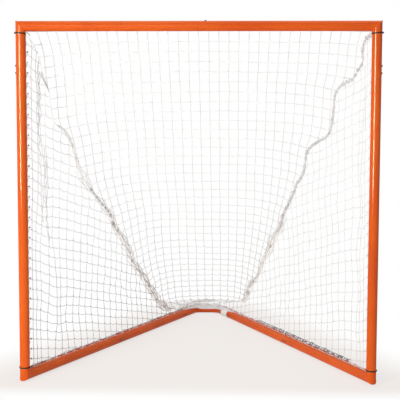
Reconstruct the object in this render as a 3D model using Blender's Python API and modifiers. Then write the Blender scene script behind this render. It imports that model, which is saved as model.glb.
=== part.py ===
"""A field lacrosse goal: a mitred tube mouth, two rails that run back to a short bent rear piece, and a white net."""
import math

import bmesh
import bpy
import numpy as np
from mathutils import Matrix, Vector

# Driving dimensions, in metres.
OUTSIDE_WIDTH = 1.8288
OUTSIDE_HEIGHT = 1.8288
OUTSIDE_DEPTH = 2.134
TUBE_OD = 0.0508
TUBE_WALL = 0.0015
SLEEVE_WALL = 0.0015
SLEEVE_LENGTH = 0.18
REAR_WIDTH = 0.16
BEND_RADIUS = 0.06
POST_SEAM_BELOW_TOP = 0.289
RAIL_SEAM_REACH = 1.075
REAR_ARM_LENGTH = 0.305
SCREW_NEAR = 0.031
SCREW_FAR = 0.067
TOP_SCREW_OFFSET = 0.038
SCREW_HEAD_RADIUS = 0.0055
SCREW_HEAD_HEIGHT = 0.0042
SCREW_RADIUS = 0.0025
SCREW_LENGTH = 0.012
ROD_RADIUS = 0.003
ROD_STANDOFF = 0.004
ROD_END_SPACE = 0.045
PIN_RADIUS = 0.002
PIN_SPACING = 0.3
POST_ROD_ANGLE = math.radians(30)
RAIL_ROD_ANGLE = math.radians(45)
TIE_WIDTH = 0.007
TIE_THICKNESS = 0.0015
TIE_HEAD_DEPTH = 0.006
TIE_HEAD_WIDTH = 0.009
TIE_HEAD_HEIGHT = 0.0085
TIE_TAIL_LENGTH = 0.016
TIE_TAIL_WIDTH = 0.0045
TOP_TIE_BELOW_TOP = 0.061
FOOT_TIE_HEIGHT = 0.067
NET_THICKNESS = 0.004
SEAM_CORD_RADIUS = 0.004
LACE_RADIUS = 0.0012
SEAM_TOP_BELOW_BAR = 0.038
NET_CROWN = 0.05
SIDES = 20
ROD_SIDES = 8
BEND_STEPS = 5
SIDE_COLUMNS = 13
BACK_COLUMNS = 9

# Clearances: between neighbouring pieces, and between a net border and the rod that it is laced to.
GAP = 0.0003
NET_CLEARANCE = 0.0005

# Height of each seam, as a part of its top height, against the way along the rail from the post to the rear.
SEAM_WAY_FRACTIONS = (0.0, 0.1, 0.23, 0.36, 0.52, 0.66, 0.78, 1.0)
SEAM_FRACTIONS_LEFT = (1.0, 0.87, 0.67, 0.50, 0.318, 0.157, 0.07, 0.045)
SEAM_FRACTIONS_RIGHT = (1.0, 0.905, 0.76, 0.605, 0.397, 0.215, 0.09, 0.045)

# Sizes that follow from the driving ones.
TUBE_RADIUS = TUBE_OD / 2
BORE_RADIUS = TUBE_RADIUS - TUBE_WALL
SLEEVE_RADIUS = (BORE_RADIUS - GAP) * math.cos(math.pi / SIDES)
POST_X = OUTSIDE_WIDTH / 2 - TUBE_RADIUS
BAR_Z = OUTSIDE_HEIGHT - TUBE_RADIUS
RAIL_Z = TUBE_RADIUS
REAR_Y = OUTSIDE_DEPTH - TUBE_OD
REAR_X = REAR_WIDTH / 2
POST_SEAM_Z = OUTSIDE_HEIGHT - POST_SEAM_BELOW_TOP
ROD_OFFSET = TUBE_RADIUS + ROD_STANDOFF + ROD_RADIUS
RAIL_LENGTH = math.hypot(POST_X - REAR_X, REAR_Y)
REAR_SEAM_REACH = RAIL_LENGTH - REAR_ARM_LENGTH
FRONT_REACH = TUBE_RADIUS + GAP + TIE_THICKNESS
REAR_REACH = REAR_Y + max(TUBE_RADIUS, ROD_OFFSET * math.cos(RAIL_ROD_ANGLE) + ROD_RADIUS)
MOUTH_Y = (FRONT_REACH - REAR_REACH) / 2
BORDER_STEP = ROD_RADIUS + NET_CLEARANCE + NET_THICKNESS / 2
RAIL_TOP = max(2 * TUBE_RADIUS, RAIL_Z + ROD_OFFSET * math.sin(RAIL_ROD_ANGLE) + ROD_RADIUS)
BORDER_Z = RAIL_TOP + NET_CLEARANCE + NET_THICKNESS / 2
LACE_STEP = ROD_RADIUS + LACE_RADIUS + NET_CLEARANCE
SEAM_STEP = SEAM_CORD_RADIUS + NET_CLEARANCE + NET_THICKNESS / 2
SEAM_TOP_Z = BAR_Z - SEAM_TOP_BELOW_BAR

UP = Vector((0, 0, 1))
BACK = Vector((0, 1, 0))
RIGHT = Vector((1, 0, 0))
LEFT_SIDE = -1
RIGHT_SIDE = 1
NAMES = {LEFT_SIDE: "left", RIGHT_SIDE: "right"}
SEAM_FRACTIONS = {LEFT_SIDE: SEAM_FRACTIONS_LEFT, RIGHT_SIDE: SEAM_FRACTIONS_RIGHT}

for leftover in list(bpy.data.objects):
    bpy.data.objects.remove(leftover, do_unlink=True)

goal = bpy.data.collections.new("lacrosse_goal")
cutters = bpy.data.collections.new("cutters")
cutters.hide_render = True
bpy.context.scene.collection.children.link(goal)
bpy.context.scene.collection.children.link(cutters)

PAINT = (0.83, 0.13, 0.025)
STEEL = (0.55, 0.55, 0.56)
WHITE = (0.85, 0.85, 0.85)
BLACK = (0.015, 0.015, 0.015)


def finish(name, colour, roughness, metallic):
    """Gives each sub-part a material of its own."""
    material = bpy.data.materials.new(name)
    material.use_nodes = True
    shader = material.node_tree.nodes["Principled BSDF"]
    shader.inputs["Base Color"].default_value = (*colour, 1)
    shader.inputs["Roughness"].default_value = roughness
    shader.inputs["Metallic"].default_value = metallic
    return material


def piece(name, shape, colour, roughness=0.4, metallic=0.0):
    """Makes an object of the finished shape and puts it with the goal."""
    mesh = bpy.data.meshes.new(name)
    bmesh.ops.recalc_face_normals(shape, faces=shape.faces)
    shape.to_mesh(mesh)
    shape.free()
    obj = bpy.data.objects.new(name, mesh)
    mesh.materials.append(finish(name, colour, roughness, metallic))
    goal.objects.link(obj)
    mesh.shade_smooth()
    mesh.set_sharp_from_angle(angle=math.radians(35))
    return obj


def helper(name, shape):
    """Makes a hidden object that other pieces are cut by or joined with."""
    mesh = bpy.data.meshes.new(name)
    bmesh.ops.recalc_face_normals(shape, faces=shape.faces)
    shape.to_mesh(mesh)
    shape.free()
    obj = bpy.data.objects.new(name, mesh)
    obj.hide_render = True
    obj.display_type = "WIRE"
    cutters.objects.link(obj)
    return obj


def combine(obj, tool, operation):
    modifier = obj.modifiers.new(operation.lower(), "BOOLEAN")
    modifier.operation = operation
    modifier.solver = "EXACT"
    modifier.object = tool


def at(x, y, z):
    """A point given from the middle of the mouth's foot line, in the goal's frame."""
    return Vector((x, y + MOUTH_Y, z))


def rail_way(side):
    """The way a side rail runs, from the post to the rear."""
    return Vector((-side * (POST_X - REAR_X), REAR_Y, 0)).normalized()


def inward(side):
    """Level, square to the side rail, towards the inside of the goal."""
    way = rail_way(side)
    return Vector((-side * way.y, side * way.x, 0))


def along_rail(side, reach):
    return at(side * POST_X, 0, RAIL_Z) + rail_way(side) * reach


def ring(shape, centre, way, level, radius, count, cut):
    """One closed ring of a tube's wall, its flats at the level direction, slid along the tube onto the cut plane."""
    turned = Matrix((level, way.cross(level), way)).transposed().to_4x4()
    place = Matrix.Translation(centre) @ turned @ Matrix.Rotation(math.pi / count, 4, "Z")
    made = bmesh.ops.create_circle(
        shape, segments=count, radius=radius / math.cos(math.pi / count), matrix=place
    )["verts"]
    for vert in made:
        vert.co += way * ((centre - vert.co).dot(cut) / way.dot(cut))
    return list({edge for vert in made for edge in vert.link_edges})


def wall(shape, points, level, radius, count, first_cut, last_cut):
    """The surface swept along the points. Returns its first and last rings."""
    ways = [(b - a).normalized() for a, b in zip(points, points[1:])]
    rings = []
    for number, point in enumerate(points):
        way = ways[min(number, len(ways) - 1)]
        if number == 0:
            cut = first_cut
        elif number == len(points) - 1:
            cut = last_cut
        else:
            cut = ways[number - 1] + way
        side = level if len(points) == 2 else way.cross(UP).normalized()
        rings.append(ring(shape, point, way, side, radius, count, cut))
    for one, other in zip(rings, rings[1:]):
        bmesh.ops.bridge_loops(shape, edges=one + other)
    return rings[0], rings[-1]


def tube(name, points, level, radius, bore, first_cut=None, last_cut=None, colour=PAINT, metallic=0.0):
    """A hollow tube along the points. A cut is the normal of the plane that an end lies in, square by default."""
    first_cut = first_cut or (points[1] - points[0]).normalized()
    last_cut = last_cut or (points[-1] - points[-2]).normalized()
    shape = bmesh.new()
    outer = wall(shape, points, level, radius, SIDES, first_cut, last_cut)
    inner = wall(shape, points, level, bore, SIDES, first_cut, last_cut)
    for one, other in zip(outer, inner):
        bmesh.ops.triangle_fill(shape, edges=one + other, use_beauty=True)
    return piece(name, shape, colour, 0.35, metallic)


def rod(name, points, level, pins):
    """A lacing rod with its short stand-off pins, joined into one body."""
    shape = bmesh.new()
    first_cut = (points[1] - points[0]).normalized()
    last_cut = (points[-1] - points[-2]).normalized()
    for end in wall(shape, points, level, ROD_RADIUS, ROD_SIDES, first_cut, last_cut):
        bmesh.ops.edgeloop_fill(shape, edges=end)
    obj = piece(name, shape, PAINT, 0.35)
    posts = bmesh.new()
    for root, tip in pins:
        span = tip - root
        place = Matrix.Translation((root + tip) / 2) @ span.to_track_quat("Z", "Y").to_matrix().to_4x4()
        bmesh.ops.create_cone(
            posts,
            cap_ends=True,
            segments=6,
            radius1=PIN_RADIUS,
            radius2=PIN_RADIUS,
            depth=span.length,
            matrix=place,
        )
    combine(obj, helper(name + "_pins", posts), "UNION")
    return obj


def pins_along(start, end, off, spacing=PIN_SPACING):
    """Pins from the middle of a straight rod to just short of the tube that carries it."""
    count = max(2, round((end - start).length / spacing) + 1)
    reach = ROD_OFFSET - TUBE_RADIUS / math.cos(math.pi / SIDES) - GAP
    ways = [(number + 0.5) / count for number in range(count)]
    return [(start.lerp(end, way), start.lerp(end, way) - off * reach) for way in ways]


def offset_path(points, distance, lift):
    """The level path moved sideways, away from the inside of the bend, and up."""
    ways = [(b - a).normalized() for a, b in zip(points, points[1:])]
    moved = []
    for number, point in enumerate(points):
        before = ways[max(number - 1, 0)].cross(UP)
        after = ways[min(number, len(ways) - 1)].cross(UP)
        middle = (before + after).normalized()
        moved.append(point - middle * (distance / middle.dot(after)) + UP * lift)
    return moved


# The tubes. A mitred joint has its two cut planes half a gap to either side of the joint.
for side in (LEFT_SIDE, RIGHT_SIDE):
    name = NAMES[side]
    across = RIGHT * -side
    top = at(side * POST_X, 0, BAR_Z)
    foot = at(side * POST_X, 0, RAIL_Z)
    mitre = (across + UP).normalized()
    tube(
        "crossbar_" + name,
        [top + across * (GAP / 2 / mitre.dot(across)), at(side * GAP / 2, 0, BAR_Z)],
        BACK,
        TUBE_RADIUS,
        BORE_RADIUS,
        first_cut=mitre,
    )
    tube(
        "drop_leg_" + name,
        [top - UP * (GAP / 2 / mitre.dot(UP)), at(side * POST_X, 0, POST_SEAM_Z + GAP / 2)],
        BACK,
        TUBE_RADIUS,
        BORE_RADIUS,
        first_cut=mitre,
    )
    way = rail_way(side)
    mitre = (UP - way).normalized()
    tube(
        "post_" + name,
        [foot + UP * (GAP / 2 / mitre.dot(UP)), at(side * POST_X, 0, POST_SEAM_Z - GAP / 2)],
        inward(side),
        TUBE_RADIUS,
        BORE_RADIUS,
        first_cut=mitre,
    )
    tube(
        "rail_front_" + name,
        [foot + way * (GAP / 2 / -mitre.dot(way)), along_rail(side, RAIL_SEAM_REACH - GAP / 2)],
        inward(side),
        TUBE_RADIUS,
        BORE_RADIUS,
        first_cut=mitre,
    )
    tube(
        "rail_rear_" + name,
        [along_rail(side, RAIL_SEAM_REACH + GAP / 2), along_rail(side, REAR_SEAM_REACH - GAP / 2)],
        inward(side),
        TUBE_RADIUS,
        BORE_RADIUS,
    )


def bend(corner, before, after):
    """Points round a level bend, from one straight to the next."""
    turn = before.angle(after)
    sense = 1 if before.cross(after).z > 0 else -1
    start = corner - before * (BEND_RADIUS * math.tan(turn / 2))
    centre = start + UP.cross(before) * (sense * BEND_RADIUS)
    arc = []
    for step in range(BEND_STEPS + 1):
        spin = Matrix.Rotation(sense * turn * step / BEND_STEPS, 3, "Z")
        arc.append(centre + spin @ (start - centre))
    return arc


left_corner = at(-REAR_X, REAR_Y, RAIL_Z)
right_corner = at(REAR_X, REAR_Y, RAIL_Z)
rear_path = [along_rail(LEFT_SIDE, REAR_SEAM_REACH + GAP / 2)]
rear_path += bend(left_corner, rail_way(LEFT_SIDE), RIGHT)
rear_path += bend(right_corner, RIGHT, -rail_way(RIGHT_SIDE))
rear_path.append(along_rail(RIGHT_SIDE, REAR_SEAM_REACH + GAP / 2))
tube("rear_connector", rear_path, UP, TUBE_RADIUS, BORE_RADIUS)

# The inner sleeves that join the tubes end to end.
HALF_SLEEVE = SLEEVE_LENGTH / 2
SLEEVE_BORE = SLEEVE_RADIUS - SLEEVE_WALL
tube(
    "sleeve_crossbar",
    [at(-HALF_SLEEVE, 0, BAR_Z), at(HALF_SLEEVE, 0, BAR_Z)],
    BACK,
    SLEEVE_RADIUS,
    SLEEVE_BORE,
    colour=STEEL,
    metallic=1.0,
)
for side in (LEFT_SIDE, RIGHT_SIDE):
    name = NAMES[side]
    seam = at(side * POST_X, 0, POST_SEAM_Z)
    sleeves = (
        ("sleeve_post_", seam - UP * HALF_SLEEVE, seam + UP * HALF_SLEEVE, BACK),
        (
            "sleeve_rail_",
            along_rail(side, RAIL_SEAM_REACH - HALF_SLEEVE),
            along_rail(side, RAIL_SEAM_REACH + HALF_SLEEVE),
            inward(side),
        ),
        (
            "sleeve_rear_",
            along_rail(side, REAR_SEAM_REACH - HALF_SLEEVE),
            along_rail(side, REAR_SEAM_REACH + HALF_SLEEVE),
            inward(side),
        ),
    )
    for label, start, end, level in sleeves:
        tube(label + name, [start, end], level, SLEEVE_RADIUS, SLEEVE_BORE, colour=STEEL, metallic=1.0)

# The screws, which go through a tube's wall into its sleeve.
screw_places = [("screw_crossbar", at(TOP_SCREW_OFFSET, 0, BAR_Z), UP)]
for side in (LEFT_SIDE, RIGHT_SIDE):
    name = NAMES[side]
    for label, reach in (("near", SCREW_NEAR), ("far", SCREW_FAR)):
        seam = at(side * POST_X, 0, POST_SEAM_Z)
        screw_places += [
            (f"screw_post_{label}_{name}", seam + UP * reach, RIGHT * side),
            (f"screw_rail_{label}_{name}", along_rail(side, RAIL_SEAM_REACH - reach), inward(side)),
            (f"screw_rear_{label}_{name}", along_rail(side, REAR_SEAM_REACH + reach), inward(side)),
        ]
SCREW_PROFILE = (
    (0, SCREW_HEAD_HEIGHT),
    (SCREW_HEAD_RADIUS * 0.6, SCREW_HEAD_HEIGHT * 0.86),
    (SCREW_HEAD_RADIUS * 0.92, SCREW_HEAD_HEIGHT * 0.5),
    (SCREW_HEAD_RADIUS, 0),
    (SCREW_RADIUS, 0),
    (SCREW_RADIUS, -SCREW_LENGTH + SCREW_RADIUS),
    (0, -SCREW_LENGTH),
)
holes = bmesh.new()
for label, centre, out in screw_places:
    seat = Matrix.Translation(centre + out * (TUBE_RADIUS + GAP)) @ out.to_track_quat("Z", "Y").to_matrix().to_4x4()
    outline = bmesh.new()
    dots = [outline.verts.new((radius, 0, height)) for radius, height in SCREW_PROFILE]
    for one, other in zip(dots, dots[1:]):
        outline.edges.new((one, other))
    profile = bpy.data.meshes.new(label)
    outline.to_mesh(profile)
    outline.free()
    screw = bpy.data.objects.new(label, profile)
    profile.materials.append(finish(label, STEEL, 0.35, 1.0))
    goal.objects.link(screw)
    turned = screw.modifiers.new("turned", "SCREW")
    turned.steps = 10
    turned.render_steps = 10
    turned.use_merge_vertices = True
    turned.merge_threshold = 0.00001
    turned.use_smooth_shade = False
    screw.matrix_world = seat
    bmesh.ops.create_cone(
        holes,
        cap_ends=True,
        segments=10,
        radius1=SCREW_RADIUS + GAP,
        radius2=SCREW_RADIUS + GAP,
        depth=TUBE_RADIUS,
        matrix=seat @ Matrix.Translation((0, 0, 0.1 * TUBE_RADIUS)),
    )
screw_holes = helper("screw_holes", holes)
drilled = ["crossbar_right", "sleeve_crossbar", "rear_connector"]
for name in NAMES.values():
    drilled += ["drop_leg_" + name, "sleeve_post_" + name, "rail_front_" + name]
    drilled += ["sleeve_rail_" + name, "sleeve_rear_" + name]
for name in drilled:
    combine(bpy.data.objects[name], screw_holes, "DIFFERENCE")

# The lacing rods behind the tubes.
for side in (LEFT_SIDE, RIGHT_SIDE):
    name = NAMES[side]
    off = BACK * math.cos(POST_ROD_ANGLE) - UP * math.sin(POST_ROD_ANGLE)
    start = at(side * (POST_X - ROD_END_SPACE), 0, BAR_Z) + off * ROD_OFFSET
    end = at(side * GAP, 0, BAR_Z) + off * ROD_OFFSET
    rod("lacing_rod_crossbar_" + name, [start, end], BACK, pins_along(start, end, off))
    off = BACK * math.cos(POST_ROD_ANGLE) - RIGHT * (side * math.sin(POST_ROD_ANGLE))
    foot = at(side * POST_X, 0, 0) + off * ROD_OFFSET
    start = foot + UP * (BAR_Z - ROD_END_SPACE)
    end = foot + UP * (POST_SEAM_Z + GAP)
    rod("lacing_rod_drop_leg_" + name, [start, end], BACK, pins_along(start, end, off))
    start = foot + UP * (POST_SEAM_Z - GAP)
    end = foot + UP * (RAIL_Z + 2 * ROD_END_SPACE)
    rod("lacing_rod_post_" + name, [start, end], BACK, pins_along(start, end, off))
    off = UP * math.sin(RAIL_ROD_ANGLE) - inward(side) * math.cos(RAIL_ROD_ANGLE)
    start = along_rail(side, ROD_END_SPACE) + off * ROD_OFFSET
    end = along_rail(side, RAIL_SEAM_REACH - GAP) + off * ROD_OFFSET
    rod("lacing_rod_rail_front_" + name, [start, end], inward(side), pins_along(start, end, off))
    start = along_rail(side, RAIL_SEAM_REACH + GAP) + off * ROD_OFFSET
    end = along_rail(side, REAR_SEAM_REACH - GAP) + off * ROD_OFFSET
    rod("lacing_rod_rail_rear_" + name, [start, end], inward(side), pins_along(start, end, off))

rod_path = offset_path(
    rear_path, ROD_OFFSET * math.cos(RAIL_ROD_ANGLE), ROD_OFFSET * math.sin(RAIL_ROD_ANGLE)
)
arm_pins = []
for side, start, end in ((LEFT_SIDE, rod_path[0], rod_path[1]), (RIGHT_SIDE, rod_path[-1], rod_path[-2])):
    off = UP * math.sin(RAIL_ROD_ANGLE) - inward(side) * math.cos(RAIL_ROD_ANGLE)
    arm_pins += pins_along(start, end, off)
rod("lacing_rod_rear", rod_path, UP, arm_pins)


# The cable ties at the four corners of the mouth.
def tie(name, centre, level, out, hand):
    """A band round an upright tube, with its head and tail on the outer side."""
    reach = TUBE_RADIUS + GAP
    half = UP * (TIE_WIDTH / 2)
    band = tube(
        name, [centre - half, centre + half], level, reach + TIE_THICKNESS, reach, colour=BLACK
    )
    side = UP.cross(out) * hand
    turned = Matrix((out, side, UP)).transposed().to_4x4()
    parts = bmesh.new()
    head = centre + out * (reach + TIE_THICKNESS / 2 + TIE_HEAD_DEPTH / 2)
    size = Matrix.Diagonal((TIE_HEAD_DEPTH, TIE_HEAD_WIDTH, TIE_HEAD_HEIGHT, 1))
    bmesh.ops.create_cube(parts, size=1, matrix=Matrix.Translation(head) @ turned @ size)
    combine(band, helper(name + "_head", parts), "UNION")
    tail_shape = bmesh.new()
    tail = head + side * (TIE_TAIL_LENGTH / 2) + out * (TIE_HEAD_DEPTH / 5)
    size = Matrix.Diagonal((TIE_THICKNESS, TIE_TAIL_LENGTH, TIE_TAIL_WIDTH, 1))
    bmesh.ops.create_cube(tail_shape, size=1, matrix=Matrix.Translation(tail) @ turned @ size)
    combine(band, helper(name + "_tail", tail_shape), "UNION")


for side in (LEFT_SIDE, RIGHT_SIDE):
    name = NAMES[side]
    tie(
        "cable_tie_top_" + name,
        at(side * POST_X, 0, OUTSIDE_HEIGHT - TOP_TIE_BELOW_TOP),
        BACK,
        RIGHT * side,
        side,
    )
    foot = at(side * POST_X, 0, FOOT_TIE_HEIGHT)
    tie("cable_tie_foot_" + name, foot, inward(side), -inward(side), side)


# The net: two side panels and a back panel, which two seam cords join.
def panel_plan(side, way):
    """The level place of a side panel at this part of its length, moving from the post's rod to the rail's rod."""
    rod_off = Vector((-side * math.sin(POST_ROD_ANGLE), math.cos(POST_ROD_ANGLE), 0)) * ROD_OFFSET
    start = rod_off.dot(rail_way(side)) + BORDER_STEP
    shift = np.interp(
        way,
        (0, 1.0 / SIDE_COLUMNS),
        (rod_off.dot(inward(side)), -ROD_OFFSET * math.cos(RAIL_ROD_ANGLE)),
    )
    reach = start + (RAIL_LENGTH - start) * way
    place = along_rail(side, reach) + inward(side) * float(shift)
    place.z = 0
    return place


def seam_point(side, number):
    """The seam's corner above this column of the side panel."""
    way = number / SIDE_COLUMNS
    height = SEAM_TOP_Z * float(np.interp(way, SEAM_WAY_FRACTIONS, SEAM_FRACTIONS[side]))
    return panel_plan(side, way) + UP * height


def under_seam(side, number):
    """The side panel's border at this column, straight below the seam cord and clear of it."""
    here = seam_point(side, number)
    beside = [seam_point(side, near) for near in (number - 1, number + 1) if 0 <= near <= SIDE_COLUMNS]
    level = min((here - near).xy.length / (here - near).length for near in beside)
    return here - UP * (SEAM_STEP / level)


def side_panel(side):
    """A grid of cells that narrows to the rear, cut off along the seam."""
    cells = SIDE_COLUMNS
    shape = bmesh.new()
    place = Matrix.Translation((cells / 2, cells / 2, 0))
    bmesh.ops.create_grid(shape, x_segments=cells, y_segments=cells, size=cells / 2, matrix=place)
    spots = {(round(vert.co.x), round(vert.co.y)): vert for vert in shape.verts}
    for column in range(cells):
        low = spots[(column + 1, cells - 1 - column)]
        high = spots[(column, cells - column)]
        bmesh.ops.connect_vert_pair(shape, verts=[low, high])
    beyond = [vert for (column, row), vert in spots.items() if column + row > cells]
    bmesh.ops.delete(shape, geom=beyond, context="VERTS")
    for vert in shape.verts:
        column = round(vert.co.x)
        row = round(vert.co.y)
        low = panel_plan(side, column / cells) + UP * BORDER_Z
        rise = row / (cells - column) if column < cells else 0
        vert.co = low.lerp(under_seam(side, column), rise)
    return shape


def back_panel():
    """A grid of cells between the two seams, which the crossbar holds a little higher in the middle."""
    shape = bmesh.new()
    place = Matrix.Translation((0.5, 0.5, 0)) @ Matrix.Diagonal((0.5, 0.5, 1, 1))
    bmesh.ops.create_grid(shape, x_segments=BACK_COLUMNS, y_segments=SIDE_COLUMNS, size=1, matrix=place)
    border_x = [point.x for point in rod_path]
    border_y = [point.y for point in rod_path]
    for vert in shape.verts:
        over = vert.co.x
        way = vert.co.y
        number = round(way * SIDE_COLUMNS)
        ends = [seam_point(side, number) + inward(side) * SEAM_STEP for side in (LEFT_SIDE, RIGHT_SIDE)]
        spot = ends[0].lerp(ends[1], over)
        spot.z += NET_CROWN * math.sin(math.pi * way) * math.sin(math.pi * over)
        on_border = 0.001 < over < 0.999
        if way < 0.001 and on_border:
            spot.y = MOUTH_Y + ROD_OFFSET * math.cos(POST_ROD_ANGLE)
            spot.z = BAR_Z - ROD_OFFSET * math.sin(POST_ROD_ANGLE) - BORDER_STEP
        if way > 0.999 and on_border:
            spot.y = float(np.interp(spot.x, border_x, border_y))
            spot.z = BORDER_Z
        vert.co = spot
    return shape


def net(name, shape):
    obj = piece(name, shape, WHITE, 0.8)
    strands = obj.modifiers.new("strands", "WIREFRAME")
    strands.thickness = NET_THICKNESS
    strands.use_boundary = True
    strands.use_even_offset = False
    strands.use_replace = True
    return obj


def cord(name, points, radius, sides_step):
    """A round cord through these points."""
    curve = bpy.data.curves.new(name, "CURVE")
    curve.dimensions = "3D"
    curve.bevel_depth = radius
    curve.bevel_resolution = sides_step
    curve.use_fill_caps = True
    spline = curve.splines.new("POLY")
    spline.points.add(len(points) - 1)
    for point, place in zip(spline.points, points):
        point.co = (*place, 1)
    curve.materials.append(finish(name, WHITE, 0.8, 0.0))
    goal.objects.link(bpy.data.objects.new(name, curve))


net("net_back", back_panel())
for side in (LEFT_SIDE, RIGHT_SIDE):
    name = NAMES[side]
    net("net_side_" + name, side_panel(side))
    seam = [seam_point(side, number) for number in range(SIDE_COLUMNS + 1)]
    cord("seam_cord_" + name, seam, SEAM_CORD_RADIUS, 2)

# The lacing cords, each drawn straight beside the rods that it holds a border to.
off = BACK * (ROD_OFFSET * math.cos(POST_ROD_ANGLE) + LACE_STEP) - UP * (ROD_OFFSET * math.sin(POST_ROD_ANGLE))
reach = POST_X - ROD_END_SPACE
cord("lacing_cord_crossbar", [at(-reach, 0, BAR_Z) + off, at(reach, 0, BAR_Z) + off], LACE_RADIUS, 1)
for side in (LEFT_SIDE, RIGHT_SIDE):
    shift = RIGHT * (-side * math.sin(POST_ROD_ANGLE)) + BACK * math.cos(POST_ROD_ANGLE)
    foot = at(side * POST_X, 0, 0) + shift * ROD_OFFSET + RIGHT * (-side * LACE_STEP)
    ends = [foot + UP * (BAR_Z - ROD_END_SPACE), foot + UP * (RAIL_Z + 2 * ROD_END_SPACE)]
    cord("lacing_cord_post_" + NAMES[side], ends, LACE_RADIUS, 1)
lace_turn = math.radians(20)
base_path = [along_rail(LEFT_SIDE, ROD_END_SPACE)] + rear_path[1:-1] + [along_rail(RIGHT_SIDE, ROD_END_SPACE)]
beside = ROD_OFFSET * math.cos(RAIL_ROD_ANGLE) - LACE_STEP * math.cos(lace_turn)
above = ROD_OFFSET * math.sin(RAIL_ROD_ANGLE) + LACE_STEP * math.sin(lace_turn)
cord("lacing_cord_base", offset_path(base_path, beside, above), LACE_RADIUS, 1)
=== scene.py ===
"""The looks of a field lacrosse goal: painted steel tubes, a knotted net laced to rods, and a studio."""
import math

import bmesh
import bpy
import numpy as np
from mathutils import Matrix, Vector, noise


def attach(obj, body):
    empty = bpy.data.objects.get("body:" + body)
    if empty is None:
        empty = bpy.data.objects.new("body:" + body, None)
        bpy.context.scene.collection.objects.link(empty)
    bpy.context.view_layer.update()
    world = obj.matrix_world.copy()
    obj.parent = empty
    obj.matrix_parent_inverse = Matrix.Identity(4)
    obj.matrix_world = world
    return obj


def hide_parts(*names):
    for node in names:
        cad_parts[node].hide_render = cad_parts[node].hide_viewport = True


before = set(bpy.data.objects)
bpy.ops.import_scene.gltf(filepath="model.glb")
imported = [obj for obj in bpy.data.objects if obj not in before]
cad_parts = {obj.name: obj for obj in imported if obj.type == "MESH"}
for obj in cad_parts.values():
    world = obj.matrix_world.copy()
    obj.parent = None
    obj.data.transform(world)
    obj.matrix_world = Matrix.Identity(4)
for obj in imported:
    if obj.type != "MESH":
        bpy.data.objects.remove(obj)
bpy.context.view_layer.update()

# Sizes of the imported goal, in metres. Heights are above the floor, and depths are behind the mouth.
TUBE_RADIUS = 0.0254
BORE_RADIUS = 0.0239
POST_X = 0.889
BAR_Z = 1.8034
RAIL_Z = 0.0254
REAR_X = 0.08
REAR_Y = 2.0832
RAIL_LENGTH = math.hypot(POST_X - REAR_X, REAR_Y)
BEND_RADIUS = 0.06
POST_SEAM_Z = 1.5398
RAIL_SEAM_REACH = 1.075
REAR_SEAM_REACH = 1.9298
MOUTH_Y = -1.040955
ROD_OFFSET = 0.0324
ROD_END_SPACE = 0.045
POST_ROD_ANGLE = math.radians(30)
RAIL_ROD_ANGLE = math.radians(45)
SCREW_NEAR = 0.031
SCREW_FAR = 0.067
TOP_SCREW_OFFSET = 0.038
TOP_TIE_Z = 1.7678
FOOT_TIE_Z = 0.067
BORDER_Z = 0.0538
SEAM_GAP = 0.0003

# How the tubes are drawn: their sides, the rounded lip of an open end and how deep its bore shows.
TUBE_SIDES = 48
END_LIP = 0.0007
BORE_SHOWN = 0.012
# The welds: points round each, its radius, how far it is sunk in the tube and its lowest middle line.
WELD_POINTS = 96
WELD_RADIUS = 0.0017
WELD_SUNK = 0.0004
WELD_LOWEST = 0.0018

# The screws' outline, from the top of the head down to the tip: radius, then height over the seat.
SCREW_OUTLINE = (
    (0, 0.0040), (0.0026, 0.0038), (0.0044, 0.0030), (0.0054, 0.0015), (0.0055, 0.0003), (0.0052, 0),
    (0.0025, 0), (0.0025, -0.010), (0, -0.012),
)
# The cross in a screw's head: the length, width and depth of each slot's block, and its middle's height.
CROSS_SIZE = (0.0056, 0.0011, 0.0034)
CROSS_Z = 0.0038
SCREW_SIDES = 28
# Edges sharper than this, in degrees, stay crisp in the smooth shading.
SHARP_ANGLE = 30

# The cable ties: inner radius, half width, thickness and ribs of the band, then its head and its tail.
TIE_RADIUS = TUBE_RADIUS + 0.0004
TIE_HALF_WIDTH = 0.0033
TIE_THICKNESS = 0.0013
TIE_RIB = 0.00025
TIE_SIDES = 96
TIE_HEAD_SIZE = (0.0062, 0.0088, 0.0084)
TIE_HEAD_OUT = 0.0036
TIE_HEAD_EDGE = 0.0012
TIE_TAIL_LENGTH = 0.0165
TIE_TAIL_WIDTH = 0.0045
TIE_TAIL_THICKNESS = 0.0012

# Sizes of the net, in metres. Sides are -1 at the left and 1 at the right.
COLUMN_STEP = 0.0512
COLUMNS_EACH_WAY = 18
BACK_ROW_STEP = 0.066
SIDE_ROW_STEP = {-1: 0.0525, 1: 0.0550}
# The first columns of a side hang closer together than the rest.
CLOSE_COLUMNS = 3
CLOSE_COLUMN_STEP = 0.052
SIDE_COLUMN_STEP = 0.072
HEM_Z = BORDER_Z + 0.0007
STRAND_RADIUS = 0.0015
SIDE_STRAND_RADIUS = 0.0013
KNOT_RADIUS = 0.0031
SEAM_CORD_RADIUS = 0.0026
LACE_RADIUS = 0.0014
SEAM_LACE_RADIUS = LACE_RADIUS * 1.1
BASE_LACE_RADIUS = LACE_RADIUS * 1.3
HEM_RADIUS = STRAND_RADIUS * 1.3
SEAM_TIE_RADIUS = 0.0011
SEAM_KNOT_RADIUS = 0.0016
ROW_TIE_RADIUS = 0.0013
HITCH_RADIUS = 0.0015
BORDER_STRAND_RADIUS = 0.003
TAN_LACE_RADIUS = 0.0024
# The radius at which a lacing cord turns round its rod and the net's border.
LACING_TURN = 0.0062
STEPS_PER_CELL = 4
# Steps between the points of a seam's cords.
STEP = 0.008
FINE_STEP = 0.006
BAND_STEP = 0.01

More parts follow.
